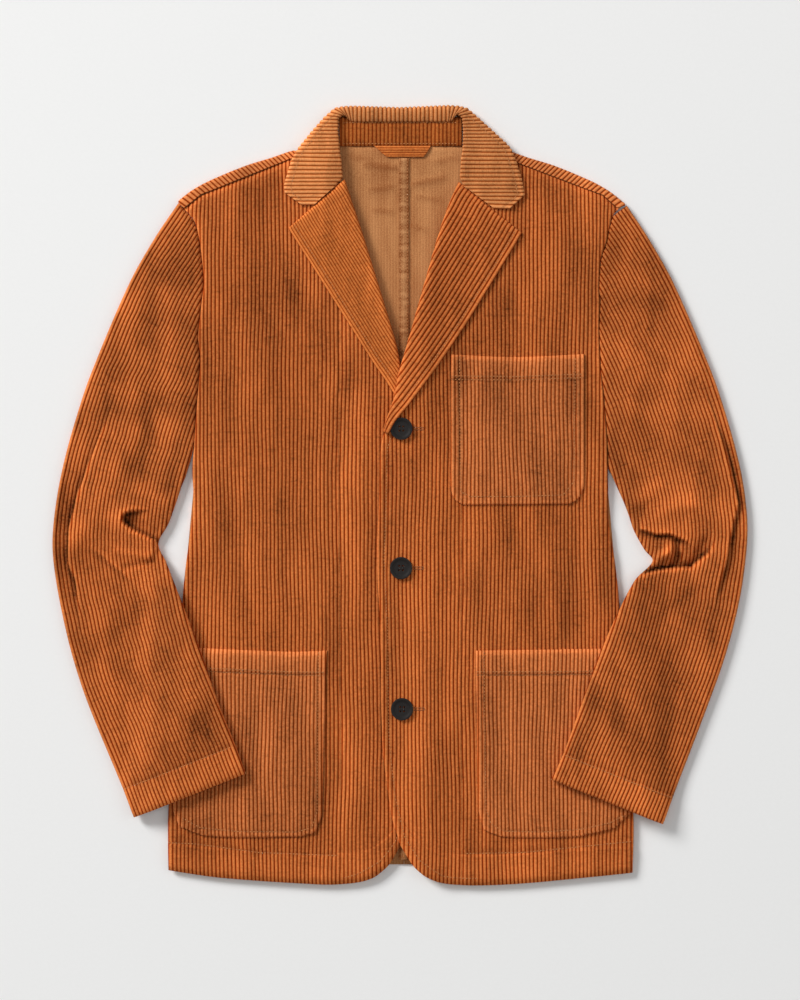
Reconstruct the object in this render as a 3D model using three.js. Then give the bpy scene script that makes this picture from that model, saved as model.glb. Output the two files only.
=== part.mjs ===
// A corduroy jacket laid flat and buttoned, in millimetres.
// +X is to the right of someone looking down at it, +Y towards the collar, +Z up.
// The flat underside is at z = 0. The wearer's right side is at -X.
import * as THREE from 'three';

// Cloth
const WALL = 1.5;
const BACK_WALL = 1.7;
const WALE_PITCH = 4.23;
const WALE_HEIGHT = 0.8;
const BAND_HEIGHT = 0.8;
const SEAM_GAP = 0.3;
const LAY_GAP = 0.6;
const COARSE_PITCH = 17;
const EDGE_CLEAR = 0.9;

// Heights of the layers, at the grooves between wales
const FRONT_TOP = 6.5;
const SIDE_TOP = 3.8;
const SIDE_ROUND = 8;
const LAP_RISE = 3.4;
const CROSSING_RISE = 2.2;
const BUTTON_CLEARANCE = 3.4;
const LAPEL_EXTRA = 0.15;
const FALL_LIFT = 2.1;
const NECK_LIFT = { y: 298, over: 36, halfWidth: 104, fade: 20 };
const SIDE_CURL = { y: 10, over: 30 };
const LAP = { x: 24, over: 36 };
const CROSSING = { y: 70, over: 25, x: 14, overX: 36, fadeY: 141, fadeOver: 127, buttonY: 78, buttonOver: 20 };
const POCKET_RISE = WALE_HEIGHT + SEAM_GAP + WALL;
const LAPEL_RISE = WALE_HEIGHT + LAY_GAP + WALL;

// Sleeves
const SLEEVE_THICK = 6.5;
const SLEEVE_ROUND = 3.6;
const SLEEVE_WALES = 26;
const SLEEVE_OVER_BODY = 11.2;
const SLEEVE_CLIMB = { beside: 50, over: 40, y: -50, overY: 50 };
const SLEEVE_SMOOTH = { edge: 4, over: 6 };
const SLEEVE_SPANS = { outer: 4, innerTop: 4, innerBottom: 3, armhole: 8, armholeUnder: 20 };

// Buttons
const BUTTON_RADIUS = 11.1;
const BUTTON_THICK = 2.6;
const BUTTON_BEVEL = 0.5;
const BUTTON_HOLE_RADIUS = 1.1;
const BUTTON_HOLE_OFFSET = 1.9;
const BUTTON_SEGMENTS = 24;
const BUTTON_HOLE_SEGMENTS = 6;
const BUTTONS = [
  { name: 'button_1', x: 1.4, y: 66.7 },
  { name: 'button_2', x: 1.0, y: -72.5 },
  { name: 'button_3', x: 2.0, y: -213.4 },
];

const CORDUROY = 0xa75324;
const CORDUROY_LIGHT = 0xae5d30;
const CORDUROY_DARK = 0x98481f;
const INSIDE_TAN = 0xb57244;
const HORN = 0x2b2420;

// Outlines of the two fronts. x is the side or edge at that y.
const RIGHT_SIDE = [
  { y: -374.5, x: -232 }, { y: -347.5, x: -232.5 }, { y: -311.5, x: -232 }, { y: -105.5, x: -218 },
  { y: -68.5, x: -214.5 }, { y: -29.5, x: -209 }, { y: 0.5, x: -207 }, { y: 26.5, x: -208 },
  { y: 46.5, x: -206.5 }, { y: 80.5, x: -204.3 }, { y: 135.5, x: -200 }, { y: 158.5, x: -202 },
  { y: 191.5, x: -199 }, { y: 213.5, x: -196.5 }, { y: 249.5, x: -200 }, { y: 265.5, x: -203 },
  { y: 275.5, x: -206.5 }, { y: 285.5, x: -215 }, { y: 293.5, x: -222.5 },
];
const RIGHT_EDGE = [
  { y: -349.7, x: 0.1 }, { y: -341.5, x: 4 }, { y: -326.5, x: 9 }, { y: -303.5, x: 13 },
  { y: -271.5, x: 17.3 }, { y: -250.5, x: 19.4 }, { y: -190, x: 21 }, { y: 50, x: 21 },
  { y: 66.5, x: 17 }, { y: 80, x: 12 }, { y: 100, x: 5.8 }, { y: 125.5, x: -1.9 },
  { y: 148.7, x: -6.6 }, { y: 178.1, x: -15 }, { y: 211.8, x: -25.4 }, { y: 239.2, x: -33.9 },
  { y: 266.5, x: -42.4 }, { y: 291.8, x: -50.8 }, { y: 317.5, x: -61.8 }, { y: 354.5, x: -66.5 },
];
const RIGHT_HEM = [
  { x: -232, y: -375 }, { x: -179.5, y: -382.5 }, { x: -78.4, y: -389.3 }, { x: -56, y: -388.7 },
  { x: -39.3, y: -386.6 }, { x: -26.8, y: -382.5 }, { x: -18.5, y: -376.6 }, { x: -11.1, y: -369.6 },
  { x: -6.1, y: -361.7 }, { x: -2, y: -354.3 }, { x: 0.1, y: -349.7 },
];
const RIGHT_SHOULDER = [
  { x: -215, y: 287.5 }, { x: -199, y: 300.5 }, { x: -110.5, y: 336 },
  { x: -104, y: 337.2 }, { x: -97, y: 338 }, { x: -65, y: 352 },
];
const LEFT_SIDE = [
  { y: -377.5, x: 233 }, { y: -320.5, x: 234 }, { y: -104.5, x: 219.5 }, { y: -63.5, x: 215 },
  { y: -38.5, x: 211 }, { y: -18.5, x: 208.5 }, { y: 8.5, x: 208.5 }, { y: 26.5, x: 208 },
  { y: 57.5, x: 207 }, { y: 102.5, x: 203.5 }, { y: 124.5, x: 201 }, { y: 169.5, x: 199 },
  { y: 193.5, x: 200 }, { y: 209.5, x: 199 }, { y: 236.5, x: 201 }, { y: 251.5, x: 206 },
  { y: 277.5, x: 212 }, { y: 285.5, x: 217 }, { y: 291.5, x: 226 },
];
const LEFT_EDGE = [
  { y: -349.7, x: 0.1 }, { y: -341.5, x: -2 }, { y: -326.5, x: -7 }, { y: -303.5, x: -11 },
  { y: -271.5, x: -15.3 }, { y: -250.5, x: -17.4 }, { y: -194.5, x: -19 }, { y: -144.5, x: -19 },
  { y: -63.5, x: -23 }, { y: 0.5, x: -20.6 }, { y: 46.5, x: -19.5 }, { y: 60.5, x: -16.5 },
  { y: 77.6, x: -9.2 }, { y: 97.1, x: -2.3 }, { y: 121.5, x: 2.4 }, { y: 150.8, x: 10.8 },
  { y: 195, x: 23.4 }, { y: 224.5, x: 31.8 }, { y: 253.9, x: 40.2 }, { y: 279.5, x: 48.4 },
  { y: 304.5, x: 58.1 }, { y: 315, x: 63.6 }, { y: 352, x: 68.5 },
];
const LEFT_HEM = [
  { x: 0.1, y: -349.7 }, { x: 3, y: -354.3 }, { x: 8, y: -362.5 }, { x: 13, y: -370 },
  { x: 19.6, y: -376.6 }, { x: 27.9, y: -382.4 }, { x: 39.5, y: -387 }, { x: 52, y: -389.1 },
  { x: 78, y: -390.2 }, { x: 123, y: -388.2 }, { x: 184, y: -382.5 }, { x: 233, y: -377.5 },
];
const LEFT_SHOULDER = [
  { x: 67, y: 350 }, { x: 97, y: 337.5 }, { x: 106, y: 336.2 }, { x: 120, y: 331.5 },
  { x: 203, y: 300 }, { x: 217, y: 287.5 },
];
const RIGHT_ROWS = [0, 0.039, 0.042, 0.4, 0.6, 0.66, 0.88, 0.95, 1];
const LEFT_ROWS = [0, 0.039, 0.042, 0.4, 0.6, 0.635, 0.7, 0.88, 0.95, 1];
const BACK_ROWS = [0, 0.4, 0.6, 0.88, 0.95, 1];
const HEM_BAND_TOP = 0.0405;
const ROLL_INSET = 1.1;
const ROLL_LOW = 60;
const ROLL_FADE = 20;

// The back, by half: the line its shoulder folds on, and the outline of that fold.
const SHOULDER_FOLD = [
  { x: 0, y: 350.3 }, { x: 60, y: 350.3 }, { x: 84, y: 344 }, { x: 98, y: 341 }, { x: 106, y: 342 },
  { x: 128, y: 335 }, { x: 154, y: 326.9 }, { x: 190, y: 311.9 }, { x: 206, y: 303.2 },
  { x: 215, y: 296.6 }, { x: 224, y: 289 },
];
const BACK_HEM = [{ x: 0, y: -369.5 }, { x: 60, y: -370 }, { x: 180, y: -371 }, { x: 233, y: -371.5 }];
const BACK_SEAM_X = 4;
const STRAP_TURN = [0.5, 1];
const STRAP_PITCH = 10;
const ARMHOLE_INSET = 2.8;
const STRAP_CORNER = { from: 194, over: 14, back: 1.8 };
const STRAP_NORMAL = { x: 0.4, y: 0.9165 };
const STRAP_FULL = 109;
const STRAP_NONE = 101;

// Lapels: the turned edge and the free edge of each section, from the lowest up.
const RIGHT_LAPEL = [
  { rollX: 9.3, rollY: 99.5, edgeX: -2, edgeY: 94.5 },
  { rollX: 5.9, rollY: 111, edgeX: -8, edgeY: 104.6 },
  { rollX: 1.5, rollY: 125.5, edgeX: -15.5, edgeY: 116.5 },
  { rollX: -3.2, rollY: 148.7, edgeX: -29.3, edgeY: 136.5 },
  { rollX: -11.6, rollY: 178.1, edgeX: -45.5, edgeY: 162.3 },
  { rollX: -22, rollY: 211.8, edgeX: -64.3, edgeY: 192 },
  { rollX: -30.5, rollY: 239.2, edgeX: -79.6, edgeY: 216.3 },
  { rollX: -39, rollY: 266.5, edgeX: -94.9, edgeY: 240.4 },
  { rollX: -47.4, rollY: 291.8, edgeX: -109.2, edgeY: 263 },
  { rollX: -55.4, rollY: 316, edgeX: -111.6, edgeY: 267.5 },
];
const LEFT_LAPEL = [
  { rollX: -16.5, rollY: 63.5, edgeX: -11.5, edgeY: 61 },
  { rollX: -12.6, rollY: 77.6, edgeX: -4.6, edgeY: 73.9 },
  { rollX: -5.7, rollY: 97.1, edgeX: 8.8, edgeY: 90.3 },
  { rollX: -1, rollY: 121.5, edgeX: 23.6, edgeY: 110 },
  { rollX: 7.4, rollY: 150.8, edgeX: 41.6, edgeY: 134.8 },
  { rollX: 20, rollY: 195, edgeX: 67.3, edgeY: 172.9 },
  { rollX: 28.4, rollY: 224.5, edgeX: 83.4, edgeY: 198.8 },
  { rollX: 36.8, rollY: 253.9, edgeX: 99.4, edgeY: 224.7 },
  { rollX: 45, rollY: 279.5, edgeX: 113.3, edgeY: 247.6 },
  { rollX: 50, rollY: 292.5, edgeX: 120.3, edgeY: 259.7 },
  { rollX: 58.6, rollY: 313.4, edgeX: 122, edgeY: 262.7 },
];
const LAPEL_TURN = 2.9;
const ROLL_RISE = 1.5;
const ROLL_SPREAD = 12;
const ROLL_CREST = { y: 125, over: 50 };
const TURN_SHARES = [0, 0.25, 0.5, 0.75, 1];
const TURN_INNER = 0.8;

// Collar sections, from the wearer's right tip round the back of the neck to the left tip.
// edge is the outline, width the cloth from the roll line on, lead the way in to the stand.
const COLLAR = [
  { rollX: -86, rollY: 290.5, edgeX: -98.2, edgeY: 290.5, width: 12.2, lead: 1.5, crest: 0 },
  { rollX: -80.6, rollY: 295.5, edgeX: -105.2, edgeY: 295.5, width: 24.6, lead: 1.5, crest: 0 },
  { rollX: -72.6, rollY: 302.5, edgeX: -115, edgeY: 302.5, width: 42.4, lead: 1.5, crest: 0 },
  { rollX: -64.6, rollY: 309.5, edgeX: -116, edgeY: 309.5, width: 51.4, lead: 1.5, crest: 0.3 },
  { rollX: -56, rollY: 317.5, edgeX: -113.8, edgeY: 317.5, width: 57.8, lead: 2.2, crest: 1 },
  { rollX: -57.5, rollY: 335.5, edgeX: -108, edgeY: 336.5, width: 50.5, lead: 2.2, crest: 1 },
  { rollX: -59, rollY: 343.5, edgeX: -103.8, edgeY: 343.5, width: 44.8, lead: 2.2, crest: 1 },
  { rollX: -59.4, rollY: 348.5, edgeX: -100, edgeY: 348.5, width: 55.5, lead: 2.2, crest: 1 },
  { rollX: -60.7, rollY: 363.1, edgeX: -88, edgeY: 363.5, width: 52, lead: 2.2, crest: 1 },
  { rollX: -61.2, rollY: 377, edgeX: -75, edgeY: 378, width: 37, lead: 1, crest: 1 },
  { rollX: -59.2, rollY: 383, edgeX: -65.3, edgeY: 386.7, width: 27, lead: -4, crest: 0.8 },
  { rollX: -54, rollY: 382.5, edgeX: -56.5, edgeY: 388.6, width: 36, lead: -7, crest: 0.5 },
  { rollX: -46, rollY: 382.4, edgeX: -46, edgeY: 389, width: 46, lead: -7.9, crest: 0.3 },
  { rollX: 0, rollY: 381, edgeX: 0, edgeY: 387.5, width: 46, lead: -6.5, crest: 0.3 },
  { rollX: 48, rollY: 383.4, edgeX: 48, edgeY: 389.6, width: 46, lead: -8.9, crest: 0.3 },
  { rollX: 56, rollY: 383, edgeX: 59, edgeY: 389, width: 36, lead: -8, crest: 0.5 },
  { rollX: 61, rollY: 383.5, edgeX: 67, edgeY: 386.7, width: 27, lead: -4, crest: 0.8 },
  { rollX: 62.3, rollY: 377, edgeX: 77, edgeY: 378, width: 37, lead: 1, crest: 1 },
  { rollX: 62.3, rollY: 363.1, edgeX: 93, edgeY: 363.5, width: 52, lead: 2.2, crest: 1 },
  { rollX: 61.8, rollY: 350.5, edgeX: 107, edgeY: 350.5, width: 58, lead: 2.2, crest: 1 },
  { rollX: 61.6, rollY: 345.5, edgeX: 111.5, edgeY: 345, width: 49.9, lead: 2.2, crest: 1 },
  { rollX: 60, rollY: 335.5, edgeX: 115.5, edgeY: 335.5, width: 55.5, lead: 2.2, crest: 1 },
  { rollX: 59, rollY: 317.5, edgeX: 121.6, edgeY: 317.5, width: 62.6, lead: 2.2, crest: 1 },
  { rollX: 63.6, rollY: 309.5, edgeX: 123, edgeY: 309.5, width: 59.4, lead: 1.5, crest: 0.3 },
  { rollX: 75.9, rollY: 300.5, edgeX: 124.8, edgeY: 300.5, width: 48.9, lead: 1.5, crest: 0 },
  { rollX: 86.7, rollY: 292.5, edgeX: 115, edgeY: 291.5, width: 28.3, lead: 1.5, crest: 0 },
  { rollX: 94.6, rollY: 286.8, edgeX: 109.4, edgeY: 286.5, width: 14.8, lead: 1.5, crest: 0 },
];
const COLLAR_WALES = [
  { from: 0, to: 9, wales: 21 },
  { from: 9, to: 17, wales: 24 },
  { from: 17, to: 26, wales: 21 },
];
const COLLAR_TURNS = [{ from: 6, to: 11 }, { from: 15, to: 20 }];
const LAID_CREST = 0.9;
const COLLAR_WING = { x: 56, over: 10 };
const NECK_Y = 340;
const COLLAR_FIRST = 1.2;
const COLLAR_FLAT = 2.6;
const COLLAR_SHARES = [0.45, 0.7, 0.9, 1];
const ROLL_INNER = 0.6;
const COLLAR_BACK_TOP = 9;
const STAND_TOP_Z = 6.7;
const STAND_LOW_Z = 4.6;
const STAND = { left: -57.2, right: 58.8, low: 351.5, high: 374.1 };

const LOOP = [
  { y: 338.4, left: -12.6, right: 23.4 }, { y: 343, left: -18.5, right: 27 },
  { y: 350.1, left: -26, right: 30.8 },
];
const LOOP_CROWN = 0.7;
const SEAM_STRIP = { left: -1.1, right: 8.9, low: -365, high: 337.6, thick: 1 };

// Patch pockets. The band at the top is raised down to y = band.
const CHEST_POCKET = {
  left: [{ y: -9.8, x: 70 }, { y: -5, x: 57.6 }, { y: 6.5, x: 50.4 }, { y: 141.5, x: 51 }],
  right: [{ y: -9.8, x: 163 }, { y: -5, x: 176 }, { y: 15.5, x: 184.4 }, { y: 141.5, x: 184.4 }],
  low: [{ x: 50, y: -9.8 }, { x: 185, y: -7.5 }],
  high: [{ x: 50, y: 141 }, { x: 117, y: 138.5 }, { x: 185, y: 141.5 }],
  rows: [0, 0.05, 0.825, 0.84, 1],
  band: 0.832,
};
const RIGHT_POCKET = {
  left: [{ y: -342.5, x: -180 }, { y: -339, x: -200.5 }, { y: -330.8, x: -221 }, { y: -311.5, x: -228.5 },
    { y: -152, x: -213 }],
  right: [{ y: -342.5, x: -104 }, { y: -337.1, x: -85 }, { y: -320, x: -77.8 }, { y: -175, x: -74.2 },
    { y: -155, x: -73.2 }],
  low: [{ x: -230, y: -340 }, { x: -162, y: -342.5 }, { x: -75, y: -341.5 }],
  high: [{ x: -230, y: -151 }, { x: -112, y: -156.1 }, { x: -73, y: -155 }],
  rows: [0, 0.05, 0.873, 0.885, 1],
  band: 0.88,
};
const LEFT_POCKET = {
  left: [{ y: -342.7, x: 110 }, { y: -341.8, x: 102 }, { y: -334.5, x: 84 }, { y: -314.5, x: 78 },
    { y: -155, x: 75.9 }],
  right: [{ y: -342.7, x: 170 }, { y: -339.8, x: 184 }, { y: -332.5, x: 214.7 }, { y: -318.5, x: 230 },
    { y: -153, x: 215 }],
  low: [{ x: 75, y: -341.5 }, { x: 143, y: -342.9 }, { x: 230, y: -340 }],
  high: [{ x: 75, y: -155.1 }, { x: 200, y: -153.1 }, { x: 220, y: -152.6 }],
  rows: [0, 0.05, 0.863, 0.875, 1],
  band: 0.87,
};

// Sleeve sections from the armhole to the cuff: the outer and the inner edge.
const RIGHT_SLEEVE = [
  { outX: -221.5, outY: 293.5, inX: -207.0, inY: 48.5 },
  { outX: -247, outY: 255.5, inX: -207.8, inY: 43.5 },
  { outX: -272, outY: 210.5, inX: -209, inY: 37.5 },
  { outX: -310, outY: 120.5, inX: -214.5, inY: 19.5 },
  { outX: -325, outY: 75.5, inX: -219, inY: 8.5 },
  { outX: -336, outY: 35.5, inX: -225, inY: -9.5 },
  { outX: -344, outY: -4.5, inX: -232, inY: -28.5 },
  { outX: -348, outY: -44.5, inX: -242, inY: -48.5 },
  { outX: -346, outY: -74.5, inX: -234, inY: -66.5 },
  { outX: -338, outY: -119.5, inX: -214, inY: -115.5 },
  { outX: -327, outY: -164.5, inX: -196, inY: -163.5 },
  { outX: -312, outY: -209.5, inX: -183, inY: -201.5 },
  { outX: -277.4, outY: -293.5, inX: -164, inY: -249.5 },
  { outX: -277, outY: -294.7, inX: -163.6, inY: -250.7 },
  { outX: -266.3, outY: -322, inX: -154, inY: -277.5 },
];
const LEFT_SLEEVE = [
  { outX: 227, outY: 290.5, inX: 208.4, inY: 27 },
  { outX: 250, outY: 255.5, inX: 209.8, inY: 24.5 },
  { outX: 274, outY: 212.5, inX: 212.4, inY: 19.5 },
  { outX: 312, outY: 123.5, inX: 220, inY: 2.5 },
  { outX: 328, outY: 75.5, inX: 224, inY: -6.5 },
  { outX: 340, outY: 30.5, inX: 229, inY: -19.5 },
  { outX: 346, outY: -4.5, inX: 234, inY: -34.5 },
  { outX: 348, outY: -34.5, inX: 245, inY: -54.5 },
  { outX: 346, outY: -64.5, inX: 253, inY: -65.5 },
  { outX: 340, outY: -104.5, inX: 234, inY: -85.5 },
  { outX: 329, outY: -149.5, inX: 212, inY: -128.5 },
  { outX: 314, outY: -194.5, inX: 196, inY: -166.5 },
  { outX: 273.4, outY: -301.2, inX: 163.2, inY: -257.2 },
  { outX: 273, outY: -302.4, inX: 162.7, inY: -258.4 },
  { outX: 263, outY: -328.5, inX: 151, inY: -283.5 },
];
const ARMHOLE_FADE = [1, 0.62, 0.34, 0.08];
const SLEEVE_EXTRA_STEPS = [0, 0, 0, 0, 0, 0, 1, 1, 0, 0, 0, 0, 0, 0];

// Folds of the sleeves. A fold with a negative height is a trough.
const RIGHT_FOLDS = [
  { x1: -242, y1: -47, x2: -274, y2: -26, width: 4.5, height: -2.6 },
  { x1: -262, y1: -18, x2: -277, y2: -22, width: 5, height: 2 },
  { x1: -247, y1: -52, x2: -268, y2: -39, width: 5, height: 2 },
  { x1: -282, y1: -15, x2: -286, y2: -46, width: 6, height: -1.6 },
  { x1: -315, y1: -50, x2: -274, y2: -82, width: 7, height: -1.6 },
  { x1: -281, y1: 101, x2: -322, y2: 2, width: 6, height: -1.4 },
  { x1: -326, y1: -12, x2: -332, y2: -66, width: 6, height: -1.6 },
  { x1: -325, y1: -84, x2: -321, y2: -116, width: 6, height: -1.1 },
];
const LEFT_FOLDS = [
  { x1: 243, y1: -35, x2: 285, y2: -45, width: 4.5, height: -2.6 },
  { x1: 270, y1: -46, x2: 268, y2: -54, width: 5, height: 2 },
  { x1: 278, y1: -48, x2: 275, y2: -68, width: 4.5, height: -2.2 },
  { x1: 254, y1: -75, x2: 291, y2: -71, width: 5, height: 1.8 },
  { x1: 294, y1: -70, x2: 309, y2: -58, width: 5, height: 1.8 },
  { x1: 306, y1: -45, x2: 291, y2: -70, width: 5, height: -1.8 },
  { x1: 311, y1: 88, x2: 338, y2: -8, width: 6, height: -1.4 },
  { x1: 334, y1: -28, x2: 326, y2: -68, width: 6, height: -1.6 },
  { x1: 325, y1: -72, x2: 318, y2: -96, width: 6, height: -1.1 },
];

// Small helpers
const mix = (a, b, f) => a + (b - a) * f;
const clamp01 = (f) => Math.min(1, Math.max(0, f));
const ease = (f) => clamp01(f) ** 2 * (3 - 2 * clamp01(f));

// A smooth curve through the rows of a table: value as a function of key.
function curve(table, key, value) {
  const rows = [...table].sort((a, b) => a[key] - b[key]);
  const slope = (i) => {
    const before = rows[Math.max(0, i - 1)];
    const after = rows[Math.min(rows.length - 1, i + 1)];
    return (after[value] - before[value]) / (after[key] - before[key]);
  };
  return (k) => {
    if (k <= rows[0][key]) return rows[0][value];
    if (k >= rows.at(-1)[key]) return rows.at(-1)[value];
    const i = rows.findIndex((row) => row[key] > k) - 1;
    const span = rows[i + 1][key] - rows[i][key];
    const f = (k - rows[i][key]) / span;
    const rise = 3 * f * f - 2 * f ** 3;
    return rows[i][value] * (1 - rise) + rows[i + 1][value] * rise
      + span * slope(i) * (f - 2 * f * f + f ** 3) + span * slope(i + 1) * (f ** 3 - f * f);
  };
}

// The same, with straight lines between the rows.
function chain(rows, key, value) {
  return (k) => {
    if (k <= rows[0][key]) return rows[0][value];
    if (k >= rows.at(-1)[key]) return rows.at(-1)[value];
    const i = rows.findIndex((row) => row[key] > k) - 1;
    return mix(rows[i][value], rows[i + 1][value], (k - rows[i][key]) / (rows[i + 1][key] - rows[i][key]));
  };
}

// How high a list of folds stands at a point.
function foldHeight(folds, x, y) {
  let height = 0;
  for (const fold of folds) {
    const dx = fold.x2 - fold.x1;
    const dy = fold.y2 - fold.y1;
    const f = clamp01(((x - fold.x1) * dx + (y - fold.y1) * dy) / (dx * dx + dy * dy));
    const away = Math.hypot(x - fold.x1 - dx * f, y - fold.y1 - dy * f) / fold.width;
    height += fold.height * Math.exp(-away * away);
  }
  return height;
}

// Triangles between two rows of points { t, p }, joined where their t agree.
function zip(faces, lower, upper) {
  let i = 0;
  let j = 0;
  while (i < lower.length - 1 || j < upper.length - 1) {
    const nextLower = i < lower.length - 1 ? lower[i + 1].t : Infinity;
    const nextUpper = j < upper.length - 1 ? upper[j + 1].t : Infinity;
    if (nextLower <= nextUpper) {
      faces.push([lower[i].p, lower[i + 1].p, upper[j].p]);
      i += 1;
    } else {
      faces.push([lower[i].p, upper[j + 1].p, upper[j].p]);
      j += 1;
    }
  }
}

function zipRows(faces, rows) {
  for (let k = 0; k < rows.length - 1; k += 1) zip(faces, rows[k], rows[k + 1]);
}

const turned = (faces) => faces.map(([a, b, c]) => [a, c, b]);

// A wall between an upper and a lower surface, closed round its four edges.
function sheet(upper, lower) {
  const faces = [];
  const under = [];
  zipRows(faces, upper);
  zipRows(under, lower);
  faces.push(...turned(under));
  zip(faces, lower[0], upper[0]);
  zip(faces, upper.at(-1), lower.at(-1));
  const side = (rows, pick) => rows.map((row, k) => ({ t: row.v ?? k, p: pick(row).p }));
  zip(faces, side(upper, (row) => row[0]), side(lower, (row) => row[0]));
  zip(faces, side(lower, (row) => row.at(-1)), side(upper, (row) => row.at(-1)));
  return faces;
}

// A flattened tube from rings, open at both ends.
function tube(rings) {
  const faces = [];
  const turnedFaces = [];
  zipRows(faces, rings.map((ring) => ring.outerTop));
  zipRows(turnedFaces, rings.map((ring) => ring.outerBottom));
  zipRows(turnedFaces, rings.map((ring) => ring.innerTop));
  zipRows(faces, rings.map((ring) => ring.innerBottom));
  zip(faces, rings[0].innerTop, rings[0].outerTop);
  zip(faces, rings[0].outerBottom, rings[0].innerBottom);
  zip(faces, rings.at(-1).outerTop, rings.at(-1).innerTop);
  zip(faces, rings.at(-1).innerBottom, rings.at(-1).outerBottom);
  faces.push(...turned(turnedFaces));
  return faces;
}

const jacket = new THREE.Group();
jacket.name = 'corduroy_jacket';

function same(a, b) {
  return Math.abs(a[0] - b[0]) + Math.abs(a[1] - b[1]) + Math.abs(a[2] - b[2]) < 0.002;
}

// Add a piece of the jacket from its triangles, with its faces pointing out.
function addPiece(name, faces, color, roughness = 0.9) {
  const whole = faces.filter(([a, b, c]) => !same(a, b) && !same(b, c) && !same(a, c));
  let volume = 0;
  for (const [a, b, c] of whole) {
    volume += a[0] * (b[1] * c[2] - b[2] * c[1]) + a[1] * (b[2] * c[0] - b[0] * c[2])
      + a[2] * (b[0] * c[1] - b[1] * c[0]);
  }
  const outward = volume < 0 ? turned(whole) : whole;
  const geometry = new THREE.BufferGeometry();
  geometry.setAttribute('position', new THREE.Float32BufferAttribute(outward.flat(2), 3));
  geometry.computeVertexNormals();
  addMesh(name, geometry, color, roughness);
}

function addMesh(name, geometry, color, roughness) {
  const material = new THREE.MeshStandardMaterial({ color, roughness, metalness: 0 });
  const mesh = new THREE.Mesh(geometry, material);
  mesh.name = name;
  jacket.add(mesh);
  return mesh;
}

// Wale lines between two ends: grooves on whole steps and ridges between them.
function waleColumns(from, to) {
  const columns = [{ t: from, ridge: 0 }];
  const step = WALE_PITCH / 2;
  for (let i = Math.ceil((from + EDGE_CLEAR) / step); i * step < to - EDGE_CLEAR; i += 1) {
    columns.push({ t: i * step, ridge: Math.abs(i) % 2 });
  }
  columns.push({ t: to, ridge: 0 });
  return columns;
}

function plainColumns(from, to, pitch = COARSE_PITCH) {
  const columns = [{ t: from, ridge: 0 }];
  for (let i = Math.ceil((from + pitch / 3) / pitch); i * pitch < to - pitch / 3; i += 1) {
    columns.push({ t: i * pitch, ridge: 0 });
  }
  columns.push({ t: to, ridge: 0 });
  return columns;
}

// Where a row meets the two outlines of its panel.
function rowEnd(rowY, outline, start) {
  let x = start;
  for (let i = 0; i < 60; i += 1) x = mix(x, outline(rowY(x)), 0.7);
  return x;
}

// A panel of upright wales between two outlines. rows are shares of the way from low to high.
function panel({ low, high, left, right, rows, top, thick }) {
  const upper = [];
  const lower = [];
  for (const share of rows) {
    const rowY = (x) => mix(low(x), high(x), share);
    const from = rowEnd(rowY, left, left(rowY(0)));
    const to = rowEnd(rowY, right, right(rowY(0)));
    const point = (z) => (column) => {
      const y = rowY(column.t);
      return { t: column.t, p: [column.t, y, z(column.t, y, share) + column.ridge * WALE_HEIGHT] };
    };
    upper.push(waleColumns(from, to).map(point(top)));
    lower.push(plainColumns(from, to).map(point((x, y, f) => top(x, y, f) - thick(f))));
  }
  return { upper, lower };
}

const inset = (outline, by) => (k) => outline(k) + by;

// Heights
function neckLift(x, y) {
  const across = 1 - ease((Math.abs(x) - NECK_LIFT.halfWidth) / NECK_LIFT.fade);
  return FALL_LIFT * clamp01((y - NECK_LIFT.y) / NECK_LIFT.over) * across;
}

const rightSide = curve(RIGHT_SIDE, 'y', 'x');
const leftSide = curve(LEFT_SIDE, 'y', 'x');

function frontTop(x, y) {
  const away = x < 0 ? x - rightSide(y) : leftSide(y) - x;
  const below = ease((SIDE_CURL.y - y) / SIDE_CURL.over);
  const near = clamp01(1 - away / SIDE_ROUND);
  return FRONT_TOP + neckLift(x, y) - below * (FRONT_TOP - SIDE_TOP) * (1 - Math.sqrt(1 - near * near));
}

const crossingFade = (y) => 1 - clamp01((y - CROSSING.fadeY) / CROSSING.fadeOver);
const crossingAcross = (x) => 1 - ease((x - CROSSING.x) / CROSSING.overX);

function crossing(x, y) {
  return ease((y - CROSSING.y) / CROSSING.over) * crossingFade(y) * crossingAcross(x);
}

const lapping = (x) => LAP_RISE * (1 - ease((x - LAP.x) / LAP.over));
const overFrontTop = (x, y) => frontTop(x, y) + lapping(x) + CROSSING_RISE * crossing(x, y);
const banded = (share, top) => (share < top ? BAND_HEIGHT : 0);

// Fronts
function front(side, edgeRows, hem, shoulder, rows, top) {
  const isRight = side === rightSide;
  const inward = isRight ? -1 : 1;
  const line = curve(edgeRows, 'y', 'x');
  const edge = (y) => line(y) + inward * ROLL_INSET * ease((y - ROLL_LOW) / ROLL_FADE);
  const outer = inset(side, -inward * SEAM_GAP / 2);
  return panel({
    low: curve(hem, 'x', 'y'),
    high: chain(shoulder, 'x', 'y'),
    left: isRight ? outer : edge,
    right: isRight ? edge : outer,
    rows,
    top: (x, y, share) => top(x, y) + banded(share, HEM_BAND_TOP),
    thick: (share) => WALL + banded(share, HEM_BAND_TOP),
  });
}

const underFront = front(rightSide, RIGHT_EDGE, RIGHT_HEM, RIGHT_SHOULDER, RIGHT_ROWS, frontTop);
const overFront = front(leftSide, LEFT_EDGE, LEFT_HEM, LEFT_SHOULDER, LEFT_ROWS, overFrontTop);
addPiece('right_front', sheet(underFront.upper, underFront.lower), CORDUROY);
addPiece('left_front', sheet(overFront.upper, overFront.lower), CORDUROY);

// Back halves. The shoulder edge turns over on a half round and ends at the front's shoulder seam.
const backFold = curve(SHOULDER_FOLD, 'x', 'y');
const backHem = curve(BACK_HEM, 'x', 'y');

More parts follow.
